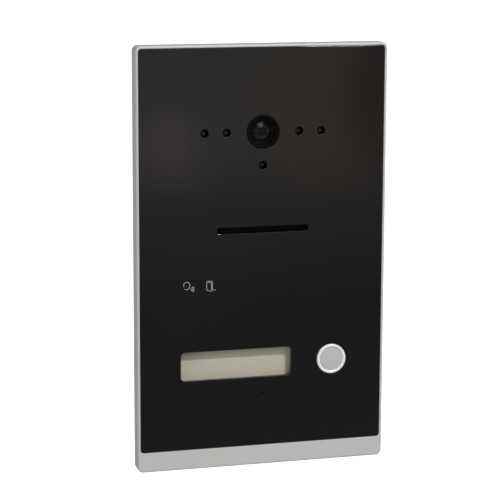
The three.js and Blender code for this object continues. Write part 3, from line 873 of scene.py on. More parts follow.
class IntercomFinishes(bpy.types.PropertyGroup):
    """Colours of the visible finishes."""

    coating: colour_property("Frame coating", "Colour of the frame", (0.545, 0.545, 0.535))
    glass: colour_property("Glass", "Colour of the printed glass", (0.0035, 0.0033, 0.0032))
    symbols: colour_property("Symbols", "Colour of the printed symbols", (0.32, 0.32, 0.315))
    card: colour_property("Name card", "Colour of the blank name card", (0.60, 0.58, 0.47))
    ring: colour_property("Button ring", "Colour of the ring round the button", (0.88, 0.88, 0.87))
    button: colour_property("Button cap", "Colour of the button's cap", (0.52, 0.52, 0.51))
    housing: colour_property("Housing", "Colour of the housing and its cover", (0.085, 0.088, 0.092))


# ---------------------------------------------------------------- shared places

HOUSING_CORNER = 3.0
FRAME_CORNER = 2.3
GLASS_CORNER = 1.3
CAMERA_HOLE = 7.1
LAMP_HOLE = 1.7
BUTTON_HOLE = 6.65
MICROPHONE_HOLE = 0.45
SLOT = (40.0, 2.7, 1.15)  # width, height and corner of the speaker slot
GASKET_GROOVE = (1.5, 3.3, -1.1)  # outer inset, inner inset and floor of the groove in the frame
SECURITY_SCREW_DEPTH = -3.7
SECURITY_SHANK_HOLE = 1.45  # radius
FLANGE_FRONT = -4.8  # front of the flanges that sit behind the glass
HOOK_PLACES = (-15, 15)  # the middle of each of the wall plate's hooks, across
HOOK_WIDTH = 8.0
LAMPS = [f"ir_led_{number}" for number in range(1, 5)]
SENSOR = "day_night_sensor"
COVER_SCREWS = [f"cover_screw_{number}" for number in range(1, 5)]
TERMINAL_SCREWS = [f"terminal_screw_{number}" for number in range(1, 5)]


def frame_outline(inset=0.0, corner=None):
    corner = max(FRAME_CORNER - inset, 0.6) if corner is None else corner
    return outline_of(Box("front_frame"), corner, -inset)


def housing_outline(grow=0.0, corner=HOUSING_CORNER):
    """The outline of the housing's walls, which is also the rear cover's."""
    return outline_of(Box("rear_cover"), corner, grow)


def points_object(name, nodes, depth):
    """A vertex at the middle of each node, for a tree to place copies on."""
    mesh = bmesh.new()
    for node in nodes:
        box = Box(node)
        mesh.verts.new(Vector((box.x, depth, box.z)) * MM)
    return linked(name, mesh)


def copied(name, pattern, nodes, slot, turn=0.0):
    """Copies a pattern piece, made about the origin, to each node's place with the copies tree."""
    thing = points_object(name, nodes, 0.0)
    seed = bpy.context.scene.intercom_sizes.screw_seed
    copies_tree().applied(thing, Piece=pattern, Turn=turn, Seed=seed, Finish=finish_for(slot))
    bpy.data.objects.remove(pattern)
    return settle(thing, slot, nodes)


def block(name, x, y, z, edge=0.2):
    """A rounded bar between (low, high) in x, y and z, as an object to join or cut with."""
    outline = Outline(sum(x) / 2, sum(z) / 2, x[1] - x[0], z[1] - z[0], edge + 0.05, 4)
    return raw_object(name, slab(outline, y[0], y[1], edge))


def pin(name, x, z, radius, front, back):
    return raw_object(name, slab(disc(x, z, radius), front, back, 0.1))


def upright_pin(name, radius, bottom, top):
    """A pin along Z, on the axis of the security screw."""
    mesh = slab(disc(0, 0, radius), -top, -bottom, 0.05)
    mesh.transform(Matrix.Translation((0, SECURITY_SCREW_DEPTH * MM, 0)) @ UPRIGHT)
    return raw_object(name, mesh)


def cross_cutters(radius, top, depth):
    """Two tapering bars that cut a cross recess in a screw's head at the origin."""
    cutters = []
    for turn in (0, math.pi / 2):
        mesh = bmesh.new()
        loops = []
        for size, y in ((0.55 * radius, top - depth), (0.80 * radius, top + 0.3)):
            width = 0.16 * radius + 0.1 * (y - top)
            corners = [(-size, -width), (size, -width), (size, width), (-size, width)]
            loops.append([Vector((a, y, b)) for a, b in corners])
        capped(mesh, loops)
        mesh.transform(Matrix.Rotation(turn, 4, "Y"))
        cutters.append(raw_object("recess", mesh))
    return cutters


def pan_head_screw(name, head, height, shank, length, seat):
    """A pan-head screw about the Y axis, head to the rear, with a grooved shank and a cross recess."""
    end = seat - length
    top = seat + height
    side = 0.55 * height  # the upright part of the head, below its crown
    pitch = 0.5
    groove = 0.06
    profile = [Vector((0, end)), Vector((shank * 0.7, end))]
    for i in range(int((length - 0.6) / pitch)):
        y = end + 0.4 + i * pitch
        profile += [Vector((shank - groove, y)), Vector((shank, y + pitch / 2))]
    profile += rounded([(shank, seat, 0), (head, seat, 0.12), (head, seat + side, 0)])
    steps = 8
    for i in range(1, steps):
        angle = i / steps * math.pi / 2
        profile.append(Vector((head * math.cos(angle), seat + side + (height - side) * math.sin(angle))))
    profile.append(Vector((0, top)))
    screw = raw_object(name, turned(profile, 0, 0, steps=40))
    return combined(screw, cross_cutters(head, top, height * 0.6), "DIFFERENCE")


# ---------------------------------------------------------------- operators


class INTERCOM_OT_stage(bpy.types.Operator):
    """Sets the camera, the pale floor, the soft lamps and the studio's surroundings"""

    bl_idname = "intercom.stage"
    bl_label = "Stage"

    def execute(self, context):
        set_camera(context.scene)
        set_floor()
        set_lamps(context.scene)
        set_surroundings(context.scene)
        context.scene.view_settings.view_transform = "Standard"
        return {"FINISHED"}


# In metres, with unit directions to the right and to the top of the view. The lens is in millimetres.
CAMERA_AT = Vector((-0.2165, -0.7627, 0.23035))
CAMERA_RIGHT = Vector((0.9634, -0.2682, 0.0035))
CAMERA_UP = Vector((0.0455, 0.1763, 0.9833))
LENS = 136.75


def set_camera(scene):
    camera = bpy.data.objects.new("Camera", bpy.data.cameras.new("Camera"))
    camera.data.lens = LENS
    camera.data.clip_start = 0.01
    back = CAMERA_RIGHT.cross(CAMERA_UP)
    turn = Matrix((CAMERA_RIGHT, CAMERA_UP, back)).transposed().to_4x4()
    camera.matrix_world = Matrix.Translation(CAMERA_AT) @ turn
    scene.collection.objects.link(camera)
    scene.camera = camera


FLOOR_DROP = 0.36  # metres below the panel
FLOOR_REACH = 12  # metres from the middle to each side


def set_floor():
    """A wide pale floor well below the panel, bright enough to read as an empty studio."""
    mesh = bmesh.new()
    bmesh.ops.create_grid(mesh, x_segments=4, y_segments=4, size=FLOOR_REACH)
    mesh.transform(Matrix.Translation((0, 0, cad_box[0][2] - FLOOR_DROP)))
    floor = linked("floor", mesh)
    material, tree, shader = new_material("pale_floor", Roughness=0.9, Emission_Strength=1.0)
    shader.inputs["Emission Color"].default_value = (1, 1, 1, 1)
    cloud = span(tree, noise(tree, place(tree), 400, 2), 0, 1)
    tint = blend_colours(tree, cloud, (0.88, 0.88, 0.88, 1), (0.92, 0.92, 0.92, 1))
    tree.links.new(tint, shader.inputs["Base Color"])
    floor.data.materials.append(material)
    floor.visible_diffuse = False
    floor.visible_glossy = False


# Name, direction from the panel, distance and width in metres, power, and whether gloss mirrors it.
LAMP_TABLE = (
    ("key_lamp", (0.55, -1.0, 1.16), 1.6, 0.15, 17.4, True),
    ("side_lamp", (-1.0, -0.3, -0.1), 1.8, 0.9, 9.6, False),
)


def set_lamps(scene):
    """Adds the lamps. Gloss doesn't mirror the wide one, which would fill the glass in side views."""
    target = Vector((0, 0, 0.08))
    for name, direction, distance, size, power, mirrored in LAMP_TABLE:
        lamp = bpy.data.lights.new(name, "AREA")
        lamp.shape = "DISK"
        lamp.size = size
        lamp.energy = power
        thing = bpy.data.objects.new(name, lamp)
        thing.visible_glossy = mirrored
        towards = Vector(direction).normalized()
        thing.location = target + towards * distance
        thing.rotation_euler = towards.to_track_quat("Z", "Y").to_euler()
        scene.collection.objects.link(thing)


# Sine of the elevation, and the brightness of the surroundings there.
SKY_LEVELS = (
    (-0.55, 0.46), (-0.40, 0.25), (-0.27, 0.20), (-0.229, 0.20), (-0.209, 0.195), (-0.183, 0.235),
    (-0.162, 0.29), (-0.146, 0.38), (-0.13, 0.44), (-0.115, 0.47), (-0.083, 0.48), (0.0, 0.44),
    (0.15, 0.17), (1.0, 0.12),
)
# Direction, angular radius in degrees, and the light that a soft patch adds or takes away.
SKY_PATCHES = (
    ((0.226, -0.966, -0.130), 0.8, (0.34, 0.25, 0.21)),
    ((0.225, -0.969, -0.10), 4.0, (0.057, 0.06, 0.062)),
    ((0.303, -0.946, -0.11), 1.7, (0.11, 0.011, -0.05)),
    ((0.350, -0.931, -0.10), 1.5, (-0.27, -0.25, -0.24)),
    ((0.12, -0.876, 0.48), 10.0, (3.0, 2.8, 2.75)),
)


def set_surroundings(scene):
    """A soft grey studio, dimmer just below the horizon, with a few soft patches of light."""
    world = bpy.data.worlds.new("studio")
    world.use_nodes = True
    tree = world.node_tree
    direction = add(tree, "ShaderNodeTexCoord").outputs["Generated"]
    elevation = add(tree, "ShaderNodeSeparateXYZ", {"Vector": direction}).outputs["Z"]
    low = SKY_LEVELS[0][0]
    reach = SKY_LEVELS[-1][0] - low
    scaled = add(tree, "ShaderNodeMapRange", {"Value": elevation, "From Min": low, "From Max": low + reach})
    ramp = add(tree, "ShaderNodeValToRGB", {"Fac": scaled.outputs["Result"]})
    ramp.color_ramp.interpolation = "B_SPLINE"
    ramp.color_ramp.elements.remove(ramp.color_ramp.elements[1])
    for i, (height, level) in enumerate(SKY_LEVELS):
        if i == 0:
            stop = ramp.color_ramp.elements[0]
        else:
            stop = ramp.color_ramp.elements.new((height - low) / reach)
        stop.color = (level, level, level, 1)
    light = ramp.outputs["Color"]
    for towards, radius, change in SKY_PATCHES:
        unit = Vector(towards).normalized()
        facing = add(tree, "ShaderNodeVectorMath", {0: direction, 1: unit}, operation="DOT_PRODUCT")
        edge = math.cos(math.radians(2 * radius))
        glow = span(tree, facing.outputs["Value"], 0, 1, edge, 1)
        patched = add(tree, "ShaderNodeVectorMath", {0: change, 1: glow, 2: light}, operation="MULTIPLY_ADD")
        light = patched.outputs["Vector"]
    background = tree.nodes["Background"]
    tree.links.new(light, background.inputs["Color"])
    scene.world = world


class INTERCOM_OT_front_frame(bpy.types.Operator):
    """Makes the coated frame: bezel, chin, glass pocket, ledge, rear recess and gasket groove"""

    bl_idname = "intercom.front_frame"
    bl_label = "Front frame"

    def execute(self, context):
        edge = context.scene.intercom_sizes.frame_edge / MM
        body = Box("front_frame")
        glass = Box("front_glass")
        outer = frame_outline()
        pocket = outline_of(glass, GLASS_CORNER + 0.15, 0.15)
        opening = housing_outline(0.7, 3.7)
        seat = housing_outline(3.9, 4.5)
        recess = frame_outline(4, 1)
        groove_out, groove_in, groove_floor = GASKET_GROOVE
        ledge = glass.back + 0.4
        carrier_seat = -3.35
        recess_depth = -2.2
        stations = along(outer, rounded([
            (-groove_out, groove_floor, 0), (-groove_out, body.back, 0.1), (0, body.back, 0.15),
            (0, body.front, edge), (-edge - 0.15, body.front, 0),
        ]))
        stations += along(pocket, rounded([
            (0.2, body.front, 0), (0, body.front, 0.12), (0, ledge, 0.15), (-0.6, ledge, 0),
        ])[1:])
        stations += along(opening, rounded([
            (0.5, ledge, 0), (0, ledge, 0.15), (0, carrier_seat, 0.1), (0.4, carrier_seat, 0),
        ]))
        stations += along(seat, [Vector((-0.3, carrier_seat)), Vector((0, carrier_seat))])
        stations += along(seat, rounded([
            (0, carrier_seat, 0), (0, recess_depth, 0.12), (0.5, recess_depth, 0),
        ])[1:])
        stations += along(recess, rounded([
            (-0.4, recess_depth, 0), (0, recess_depth, 0.12), (0, body.back, 0.1), (0.25, body.back, 0),
        ]))
        stations += along(outer, [Vector((-groove_in, body.back)), Vector((-groove_in, groove_floor))])
        shell = raw_object("frame_shell", swept(stations))
        self.cut_pockets(shell, body)
        settle(shell, "frame_paint", ["front_frame"])
        return {"FINISHED"}

    def cut_pockets(self, shell, body):
        """The hook pockets, the tab pocket and the stepped hole of the security screw."""
        plate = Box("mounting_plate")
        cutters = []
        half = HOOK_WIDTH / 2 + 0.5
        behind = -1.2
        for x in HOOK_PLACES:
            cutters.append(block("hook", (x - half, x + half), (-4, behind), (165.3, 169), 0.1))
        cutters.append(block("tab", (-5.5, 5.5), (-5.8, behind), (plate.bottom - 0.4, -2.8), 0.1))
        below = body.bottom - 2
        cutters.append(upright_pin("head_hole", 2.45, below, -6.8))
        cutters.append(upright_pin("shank_hole", SECURITY_SHANK_HOLE, below, -4.2))
        combined(shell, cutters, "DIFFERENCE")


class INTERCOM_OT_front_glass(bpy.types.Operator):
    """Makes the gloss glass with all of its openings, and the two printed symbols on it"""

    bl_idname = "intercom.front_glass"
    bl_label = "Front glass"

    def execute(self, context):
        sizes = context.scene.intercom_sizes
        glass = Box("front_glass")
        camera = Box("camera_window")
        window = Box("name_window")
        button = Box("button_ring")
        grille = Box("speaker_mesh")
        boot = Box("microphone_boot")
        holes = [disc(camera.x, camera.z, CAMERA_HOLE), disc(button.x, button.z, BUTTON_HOLE)]
        holes.append(disc(boot.x, boot.z, MICROPHONE_HOLE))
        holes += [disc(Box(lamp).x, Box(lamp).z, LAMP_HOLE) for lamp in [*LAMPS, SENSOR]]
        holes.append(Outline(grille.x, grille.z, *SLOT))
        holes.append(outline_of(window, 1.9, 0.15))
        outline = outline_of(glass, GLASS_CORNER)
        mesh = slab(outline, glass.front, glass.back, sizes.glass_edge / MM, holes, 0.12)
        settle(raw_object("glass_pane", mesh), "black_glass", ["front_glass"])
        self.print_symbols(glass.front, sizes.symbol_line / MM)
        return {"FINISHED"}

    def print_symbols(self, face, line):
        """A head with sound waves, and an open door, as two sets of fine lines."""
        talk = Box("talk_light_pipe")
        middle = Vector((talk.x - 1.15, talk.z + 0.95))
        face_and_neck = [middle + Vector(step) for step in ((0.95, -1.2), (0.3, -1.95), (-0.9, -1.5))]
        strokes = [circle_arc(*middle, 1.35, 205, -25) + face_and_neck]
        for radius in (0.7, 1.3, 1.9):
            strokes.append(circle_arc(talk.x + 0.05, talk.z - 0.75, radius, -42, 42, 8))
        self.print_lines("talk_symbol", strokes, line, face)
        door = Box("door_light_pipe")
        left, right = door.x - 1.75, door.x + 0.75
        foot, head = door.z - 1.85, door.z + 1.95
        edge = left + 2.1
        leaf = [(left, foot), (left, head), (right, head), (right, foot)]
        swing = [(left, foot), (edge, foot - 0.45), (edge, head - 0.9), (left, head)]
        sill = [(right, foot), (right + 1.4, foot)]
        strokes = []
        for corners in (leaf, swing, sill):
            strokes += [[Vector(start), Vector(end)] for start, end in zip(corners, corners[1:])]
        self.print_lines("door_symbol", strokes, line, face)

    def print_lines(self, name, strokes, line, face):
        """Prints strokes of (x, z) points on the face of the glass."""
        mesh = bmesh.new()
        for stroke in strokes:
            ribbon(mesh, stroke, line, face - 0.015, face + 0.02)
        material = bpy.data.materials.get("printed_symbol") or printed_symbol()
        settle(raw_object(name, mesh), "white_plastic", [], material=material)


class INTERCOM_OT_camera_group(bpy.types.Operator):
    """Makes the camera's ring, window, baffled shroud, lens barrel and front lens"""

    bl_idname = "intercom.camera_group"
    bl_label = "Camera"

    def execute(self, context):
        window = Box("camera_window")
        x, z = window.x, window.z
        front, step, back = -6.85, -5.6, -3.9
        ring = [
            (6.2, front, 0.12), (7, front, 0.15), (7, FLANGE_FRONT, 0.1), (8.5, FLANGE_FRONT, 0.1),
            (8.5, back, 0.1), (5.1, back, 0.1), (5.1, step, 0.08), (5.75, step, 0.05), (5.75, -6.4, 0.05),
        ]
        ring_mesh = turned(rounded(ring, True), x, z, closed=True)
        settle(raw_object("camera_bezel", ring_mesh), "black_plastic", ["camera_ring"])
        pane = slab(disc(x, z, window.width / 2), window.front, window.back, 0.1)
        settle(raw_object("camera_pane", pane), "clear_plastic", ["camera_window"])
        self.make_shroud(x, z)
        self.make_barrel(x, z)
        self.make_lens(x, z)
        return {"FINISHED"}

    def make_shroud(self, x, z):
        """A tube whose bore steps in and out to trap stray light."""
        shroud = Box("lens_shroud")
        outer, tip, floor = 8.3, 5.06, 5.4  # radii of the tube and of each baffle's tip and floor
        profile = [Vector((outer, shroud.back)), Vector((outer, shroud.front)), Vector((5.3, shroud.front))]
        baffles = 6
        pitch = (shroud.back - shroud.front) / baffles
        for i in range(baffles):
            depth = shroud.front + i * pitch
            profile += [Vector((tip, depth + 0.1)), Vector((tip, depth + 0.25))]
            profile += [Vector((floor, depth + 0.35)), Vector((floor, depth + pitch - 0.05))]
        profile[-1].y = shroud.back
        mesh = turned(profile, x, z, closed=True)
        settle(raw_object("baffled_shroud", mesh), "black_plastic", ["lens_shroud"])

    def make_barrel(self, x, z):
        """The lens barrel, with a seat in its mouth for the front element."""
        barrel = Box("lens_barrel")
        lens = Box("lens_element")
        seat = lens.back + 0.05
        lip = lens.width / 2 + 0.1
        throat = 3.5  # radius of the opening behind the front element
        neck = 4.9
        base = 6.0
        bore = 4.6
        step = 0.5
        profile = [
            (throat, seat, 0.05), (lip, seat, 0.05), (lip, barrel.front, 0.06), (neck, barrel.front, 0.12),
            (neck, step, 0.1), (base, step, 0.15), (base, barrel.back, 0.15), (bore, barrel.back, 0.1),
            (bore, step + 0.1, 0.1), (throat, step + 0.1, 0.05),
        ]
        mesh = turned(rounded(profile, True, 3), x, z, closed=True)
        settle(raw_object("lens_mount", mesh), "black_metal", ["lens_barrel"], crease=50)

    def make_lens(self, x, z):
        """A domed front element with a ground edge."""
        lens = Box("lens_element")
        radius = 9.0
        rim = lens.width / 2 - 0.02
        front = dome(radius, lens.front, math.asin(rim / radius), 16)
        rear = [Vector((rim, lens.back - 0.1)), Vector((rim - 0.1, lens.back)), Vector((0, lens.back))]
        mesh = turned(front + rear, x, z)
        settle(raw_object("front_lens", mesh), "lens_glass", ["lens_element"])


class INTERCOM_OT_lamps(bpy.types.Operator):
    """Makes the infrared lamps and the day and night sensor from one moulded shape"""

    bl_idname = "intercom.lamps"
    bl_label = "Infrared lamps and sensor"

    def execute(self, context):
        copied("infrared_lamps", self.lamp(Box(LAMPS[0])), LAMPS, "infrared_epoxy")
        sensor = Box(SENSOR)
        copied("light_sensor", self.lamp(sensor), [SENSOR], "infrared_epoxy")
        return {"FINISHED"}

    def lamp(self, box):
        """A domed epoxy body with its flange, about the origin."""
        radius = 1.5
        flange = box.width / 2
        flange_front = -0.6
        foot = rounded([
            (radius, box.front + radius, 0), (radius, flange_front, 0.05), (flange, flange_front, 0.1),
            (flange, box.back, 0.1), (0, box.back, 0),
        ])
        profile = dome(radius, box.front, math.pi / 2, 9) + foot[1:]
        return raw_object("lamp_pattern", turned(profile, 0, 0, steps=40))


class INTERCOM_OT_grille(bpy.types.Operator):
    """Makes the perforated sheet behind the speaker slot"""

    bl_idname = "intercom.grille"
    bl_label = "Speaker grille"

    def execute(self, context):
        sizes = context.scene.intercom_sizes
        box = Box("speaker_mesh")
        pitch = sizes.grille_pitch / MM
        rise = pitch * math.sqrt(3) / 2
        columns = int((box.width - 3) / pitch)
        rows = 5
        left = box.x - (columns - 0.5) * pitch / 2
        start = Vector((left, (box.front + box.back) / 2, box.z - rise * (rows - 1) / 2)) * MM
        sheet = raw_object("perforated_grille", slab(outline_of(box, 1.0), box.front, box.back, 0.08))
        perforation_tree().applied(
            sheet, Columns=columns, Rows=rows, Pitch=sizes.grille_pitch, Hole=sizes.grille_hole,
            Start=start, Finish=finish_for("black_metal"),
        )
        settle(sheet, "black_metal", ["speaker_mesh"])
        return {"FINISHED"}


class INTERCOM_OT_name_plate(bpy.types.Operator):
    """Makes the name window, the blank card behind it and the tray that holds the card"""

    bl_idname = "intercom.name_plate"
    bl_label = "Name plate"

    def execute(self, context):
        window = Box("name_window")
        pane = slab(outline_of(window, 1.75), window.front, window.back, 0.3)
        settle(raw_object("name_pane", pane), "clear_plastic", ["name_window"])
        card = Box("name_label")
        sheet = slab(outline_of(card, 1.0), card.front, card.back, 0.08)
        settle(raw_object("blank_card", sheet), "label_paper", ["name_label"])
        tray = Box("name_tray")
        outer = outline_of(tray, 1.5)
        pocket = outline_of(card, 1.2, 0.15)
        floor = card.back + 0.05
        mesh = bmesh.new()
        stations = along(outer, rounded([
            (-0.5, tray.back, 0), (0, tray.back, 0.3), (0, tray.front, 0.25), (-0.6, tray.front, 0),
        ]))
        stations += along(pocket, rounded([
            (0.4, tray.front, 0), (0, tray.front, 0.15), (0, floor, 0.15), (-0.5, floor, 0),
        ]))
        rows = loft(mesh, [outline.grown(grow).points(depth) for outline, grow, depth in stations])
        fill(mesh, [rows[0]])
        fill(mesh, [rows[-1]])
        settle(raw_object("card_tray", mesh), "white_plastic", ["name_tray"])
        return {"FINISHED"}


class INTERCOM_OT_call_button(bpy.types.Operator):
    """Makes the call button: its white ring, crowned cap and return spring"""

    bl_idname = "intercom.call_button"
    bl_label = "Call button"

    def execute(self, context):
        ring = Box("button_ring")
        x, z = ring.x, ring.z
        bore = Box("button_cap").width / 2 + 0.09
        outer = 6.4
        flange = 8.6
        profile = [
            (bore, ring.front + 0.28, 0.05), (bore + 0.4, ring.front, 0.08), (outer, ring.front, 0.4),
            (outer, FLANGE_FRONT, 0.1), (flange, FLANGE_FRONT, 0.12), (flange, ring.back, 0.12),
            (bore, ring.back, 0.15),
        ]
        mesh = turned(rounded(profile, True), x, z, closed=True)
        settle(raw_object("ring_moulding", mesh), "white_plastic", ["button_ring"])
        self.make_cap(x, z)
        self.make_spring(x, z, context.scene.intercom_sizes.spring_turns)
        return {"FINISHED"}

    def make_cap(self, x, z):
        """A low crown with a rounded rim, a skirt, and the stem with the clip's groove."""
        cap = Box("button_cap")
        rim = cap.width / 2
        crown_radius = rim - 0.6
        fall = 0.18
        crown = []
        for i in range(13):
            share = i / 12
            crown.append(Vector((crown_radius * share, cap.front + fall * share ** 2)))
        hollow = 3.95  # radius of the space inside the skirt
        skirt_end = -2.2
        hollow_floor = -5.5
        stem = 2.1
        groove = 1.6  # radius of the stem in the clip's groove
        groove_front = 3.05
        groove_back = 3.75
        outside = rounded([
            (crown_radius, cap.front + fall, 0), (rim, cap.front + fall + 0.05, 0.12), (rim, skirt_end, 0.1),
            (hollow, skirt_end, 0.1), (hollow, hollow_floor, 0.2), (stem, hollow_floor, 0.2),
            (stem, groove_front, 0.05), (groove, groove_front, 0.05), (groove, groove_back, 0.05),
            (stem, groove_back, 0.05), (stem, cap.back, 0.15), (0, cap.back, 0),
        ], steps=4)
        mesh = turned(crown + outside[1:], x, z)
        settle(raw_object("cap_moulding", mesh), "button_satin", ["button_cap"], BUTTON)

    def make_spring(self, x, z, turns):
        """The return spring, wound to fill the spring's box."""
        spring = Box("button_spring")
        wire = 0.3
        length = spring.back - spring.front - 2 * wire
        holder = raw_object("return_spring", bmesh.new())
        coil_tree().applied(
            holder, Turns=turns, Radius=(spring.width / 2 - wire) * MM, Length=length * MM, Wire=wire * MM,
            Start=Vector((x, spring.front + wire, z)) * MM, Finish=finish_for("zinc_steel"),
        )
        settle(holder, "zinc_steel", ["button_spring"])
        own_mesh(holder)


class INTERCOM_OT_housing(bpy.types.Operator):
    """Makes the housing with its flange, screw bosses and parting line, and the cover's gasket"""

    bl_idname = "intercom.housing"
    bl_label = "Housing"

    def execute(self, context):
        box = Box("housing")
        wall = 1.6
        outer = housing_outline()
        inner = housing_outline(-wall, HOUSING_CORNER - wall)
        flange = outline_of(box, 1.0)
        flange_back = box.front + 0.8
        parting = (flange_back + box.back) / 2
        groove = 0.15
        stations = along(outer, rounded([
            (0.6, flange_back, 0), (0, flange_back, 0.12), (0, parting - 1, 0),
        ])[1:])
        stations += along(outer, rounded([
            (0, parting - 1, 0), (0, parting - groove, 0), (-groove, parting, 0), (0, parting + groove, 0),
            (0, box.back, 0.3), (-0.6, box.back, 0),
        ]))
        stations += along(inner, rounded([
            (0.5, box.back, 0), (0, box.back, 0.25), (0, box.front, 0.2), (0.5, box.front, 0),
        ]))
        stations += along(flange, rounded([
            (-0.8, box.front, 0), (0, box.front, 0.2), (0, flange_back, 0.2), (-0.8, flange_back, 0),
        ]))
        shell = raw_object("housing_shell", swept(stations))
        bosses = []
        bores = []
        for screw in COVER_SCREWS:
            spot = Box(screw)
            bosses.append(pin("boss", spot.x, spot.z, 3.3, 1.8, box.back - 0.02))
            bores.append(pin("bore", spot.x, spot.z, 1.6, 0, box.back + 1))
        combined(shell, bosses, "UNION")
        combined(shell, bores, "DIFFERENCE")
        settle(shell, "grey_plastic", ["housing"])
        self.make_gasket()
        return {"FINISHED"}

    def make_gasket(self):
        """A rubber seal with rounded edges between the housing and its cover."""
        seal = Box("cover_gasket")
        corner = 0.9 * (seal.back - seal.front) / 2
        width = 1.2
        stations = along(housing_outline(-0.2, 2.8), rounded([
            (0, seal.front, corner), (0, seal.back, corner), (-width, seal.back, corner),
            (-width, seal.front, corner),
        ], True, 3))
        settle(raw_object("cover_seal", swept(stations)), "black_rubber", ["cover_gasket"])


class INTERCOM_OT_rear_cover(bpy.types.Operator):
    """Makes the ribbed rear cover"""

    bl_idname = "intercom.rear_cover"
    bl_label = "Rear cover"

    def execute(self, context):
        cover = Box("rear_cover")
        terminals = Box("terminal_block")
        plate_back = cover.back - 1
        holes = [disc(Box(screw).x, Box(screw).z, 1.6) for screw in COVER_SCREWS]
        holes.append(outline_of(terminals, 0.5, 0.4))
        mesh = slab(housing_outline(), cover.front, plate_back, 0.4, holes, 0.2)
        plate = raw_object("ribbed_cover", mesh)
        lowest = 60
        half_length = 32
        half_width = 0.7
        pitch = 15
        heights = (lowest - half_width, lowest + half_width)
        rib = block("rib", (-half_length, half_length), (plate_back - 0.4, cover.back), heights, 0.25)
        ribs_tree().applied(
            plate, Rib=rib, Count=context.scene.intercom_sizes.cover_ribs, Pitch=pitch * MM,
            Finish=finish_for("grey_plastic"),
        )
        bpy.data.objects.remove(rib)
        settle(plate, "grey_plastic", ["rear_cover"])
        return {"FINISHED"}


class INTERCOM_OT_terminals(bpy.types.Operator):
    """Makes the terminal block with its screw wells and wire openings"""

    bl_idname = "intercom.terminals"
    bl_label = "Terminal block"

    def execute(self, context):
        box = Box("terminal_block")
        mesh = slab(outline_of(box, 0.4, steps=4), box.front, box.back, 0.3)
        body = raw_object("terminal_body", mesh)
        well_radius = 2.0
        well_floor = 23.5
        half_opening = 1.6
        opening_depths = (22.3, 25.5)
        cutters = []
        for node in TERMINAL_SCREWS:
            screw = Box(node)
            cutters.append(pin("well", screw.x, screw.z, well_radius, well_floor, box.back + 2))
            wire = (screw.x - half_opening, screw.x + half_opening)
            cutters.append(block("wire", wire, opening_depths, (box.bottom - 1, screw.z - 2.6), 0.1))
        combined(body, cutters, "DIFFERENCE")
        settle(body, "terminal_green", ["terminal_block"])
        return {"FINISHED"}


class INTERCOM_OT_wall_parts(bpy.types.Operator):
    """Makes the steel mounting plate with its hooks and tab, and the wall gasket"""

    bl_idname = "intercom.wall_parts"
    bl_label = "Wall plate and gasket"

    def execute(self, context):
        box = Box("mounting_plate")
        thickness = 1.2
        front = box.back - thickness
        holes = [disc(x, z, 2.2) for x in (-30, 30) for z in (2.2, 162.8)]
        opening = housing_outline(0.5, 3.5)
        mesh = slab(frame_outline(4.4, 1), front, box.back, 0.2, [*holes, opening])
        plate = raw_object("wall_plate", mesh)
        root = front + 0.3  # each limb starts inside the plate
        limbs = [block("tab", (-5, 5), (-5.5, root), (box.bottom, box.bottom + thickness), 0.15)]
        hook_front = -3.6
        arm_bottom = 165.7
        for x in HOOK_PLACES:
            side = (x - HOOK_WIDTH / 2, x + HOOK_WIDTH / 2)
            limbs.append(block("arm", side, (hook_front, root), (arm_bottom, arm_bottom + thickness), 0.15))
            finger = (hook_front, hook_front + thickness)
            limbs.append(block("finger", side, finger, (arm_bottom + 0.5, box.top), 0.15))
        combined(plate, limbs, "UNION")
        combined(plate, [upright_pin("tab_hole", SECURITY_SHANK_HOLE, -9, 1)], "DIFFERENCE")
        settle(plate, "zinc_steel", ["mounting_plate"])
        self.make_gasket()
        return {"FINISHED"}

    def make_gasket(self):
        """A soft strip in the frame's groove, rounded where it meets the wall."""
        seal = Box("wall_gasket")
        stations = along(frame_outline(1.65, 1.05), rounded([
            (0, seal.front, 0.1), (0, seal.back, 0.45), (-1.5, seal.back, 0.45), (-1.5, seal.front, 0.1),
        ], True, 3))
        settle(raw_object("wall_seal", swept(stations)), "black_rubber", ["wall_gasket"])


class INTERCOM_OT_screws(bpy.types.Operator):
    """Makes the cover's long screws, the terminal screws and the security screw"""

    bl_idname = "intercom.screws"
    bl_label = "Screws"

    def execute(self, context):
        seat = Box("rear_cover").back - 0.95
        cover = pan_head_screw("cover_pattern", head=2.8, height=1.8, shank=1.4, length=21.8, seat=seat)
        copied("cover_screws", cover, COVER_SCREWS, "zinc_steel", 3)
        clamp = pan_head_screw("clamp_pattern", head=1.8, height=1.4, shank=1.2, length=1.2, seat=25)
        copied("terminal_screws", clamp, TERMINAL_SCREWS, "zinc_steel", 3)
        self.make_security_screw()
        return {"FINISHED"}

    def make_security_screw(self):
        """A pan-head screw with a hexagonal socket, upright under the chin."""
        box = Box("security_screw")
        height = 1.6
        length = box.height - height
        head = box.width / 2
        shank = 1.25
        profile = rounded([
            (0, -length, 0), (0.95, -length, 0), (shank, 0.4 - length, 0), (shank, 0, 0.05), (head, 0, 0.1),
            (head, height * 0.6, 0.5), (head * 0.7, height, 0.3), (0, height, 0),
        ], steps=4)
        screw = raw_object("security_screw_steel", turned(profile, 0, 0, steps=48))
        socket = 1.15
        sides = 6
        angles = [FULL_TURN * i / sides for i in range(sides)]
        mesh = bmesh.new()
        capped(mesh, [
            [Vector((socket * math.cos(a), y, socket * math.sin(a))) for a in angles]
            for y in (height - 0.9, height + 0.5)
        ])
        combined(screw, [raw_object("socket", mesh)], "DIFFERENCE")
        seat = Vector((box.x, SECURITY_SCREW_DEPTH, box.bottom + height)) * MM
        screw.data.transform(Matrix.Translation(seat) @ UPRIGHT)
        settle(screw, "zinc_steel", ["security_screw"])


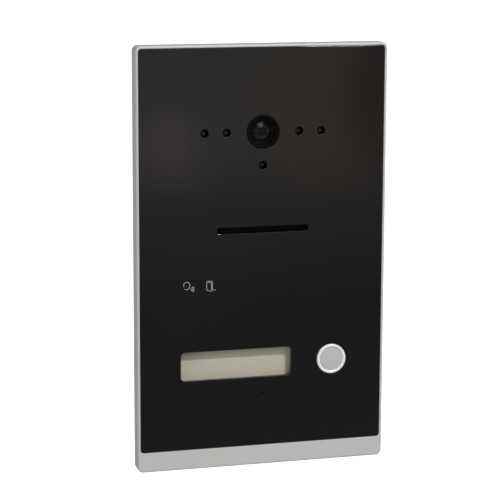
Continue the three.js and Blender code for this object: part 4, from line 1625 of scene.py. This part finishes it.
class INTERCOM_OT_inner_finishes(bpy.types.Operator):
    """Gives every inner piece that keeps its own shape the finish of its slot"""

    bl_idname = "intercom.inner_finishes"
    bl_label = "Inner finishes"

    def execute(self, context):
        for part in frame["record"]["subparts"]:
            thing = frame["nodes"][part["node"]]
            if thing.hide_render:
                continue
            finish = finish_for(part["material_slot"])
            if not thing.material_slots:
                thing.data.materials.append(finish)
            for place_for_finish in thing.material_slots:
                place_for_finish.material = finish
        return {"FINISHED"}


OPERATORS = (
    INTERCOM_OT_stage,
    INTERCOM_OT_front_frame,
    INTERCOM_OT_front_glass,
    INTERCOM_OT_camera_group,
    INTERCOM_OT_lamps,
    INTERCOM_OT_grille,
    INTERCOM_OT_name_plate,
    INTERCOM_OT_call_button,
    INTERCOM_OT_housing,
    INTERCOM_OT_rear_cover,
    INTERCOM_OT_terminals,
    INTERCOM_OT_wall_parts,
    INTERCOM_OT_screws,
    INTERCOM_OT_inner_finishes,
)


class INTERCOM_PT_panel(bpy.types.Panel):
    """Lists the sizes, the colours and every step of the build"""

    bl_label = "Door intercom panel"
    bl_idname = "INTERCOM_PT_panel"
    bl_space_type = "VIEW_3D"
    bl_region_type = "UI"
    bl_category = "Intercom"

    def draw(self, context):
        for group in (context.scene.intercom_sizes, context.scene.intercom_finishes):
            box = self.layout.box()
            for name in group.__annotations__:
                box.prop(group, name)
        column = self.layout.column()
        for operator in OPERATORS:
            column.operator(operator.bl_idname)


CLASSES = (IntercomSizes, IntercomFinishes, *OPERATORS, INTERCOM_PT_panel)


def register():
    for one in CLASSES:
        bpy.utils.register_class(one)
    bpy.types.Scene.intercom_sizes = PointerProperty(type=IntercomSizes)
    bpy.types.Scene.intercom_finishes = PointerProperty(type=IntercomFinishes)


def unregister():
    del bpy.types.Scene.intercom_finishes
    del bpy.types.Scene.intercom_sizes
    for one in reversed(CLASSES):
        bpy.utils.unregister_class(one)


def main():
    register()
    for operator in OPERATORS:
        family, name = operator.bl_idname.split(".")
        getattr(getattr(bpy.ops, family), name)()


if __name__ == "__main__":
    main()
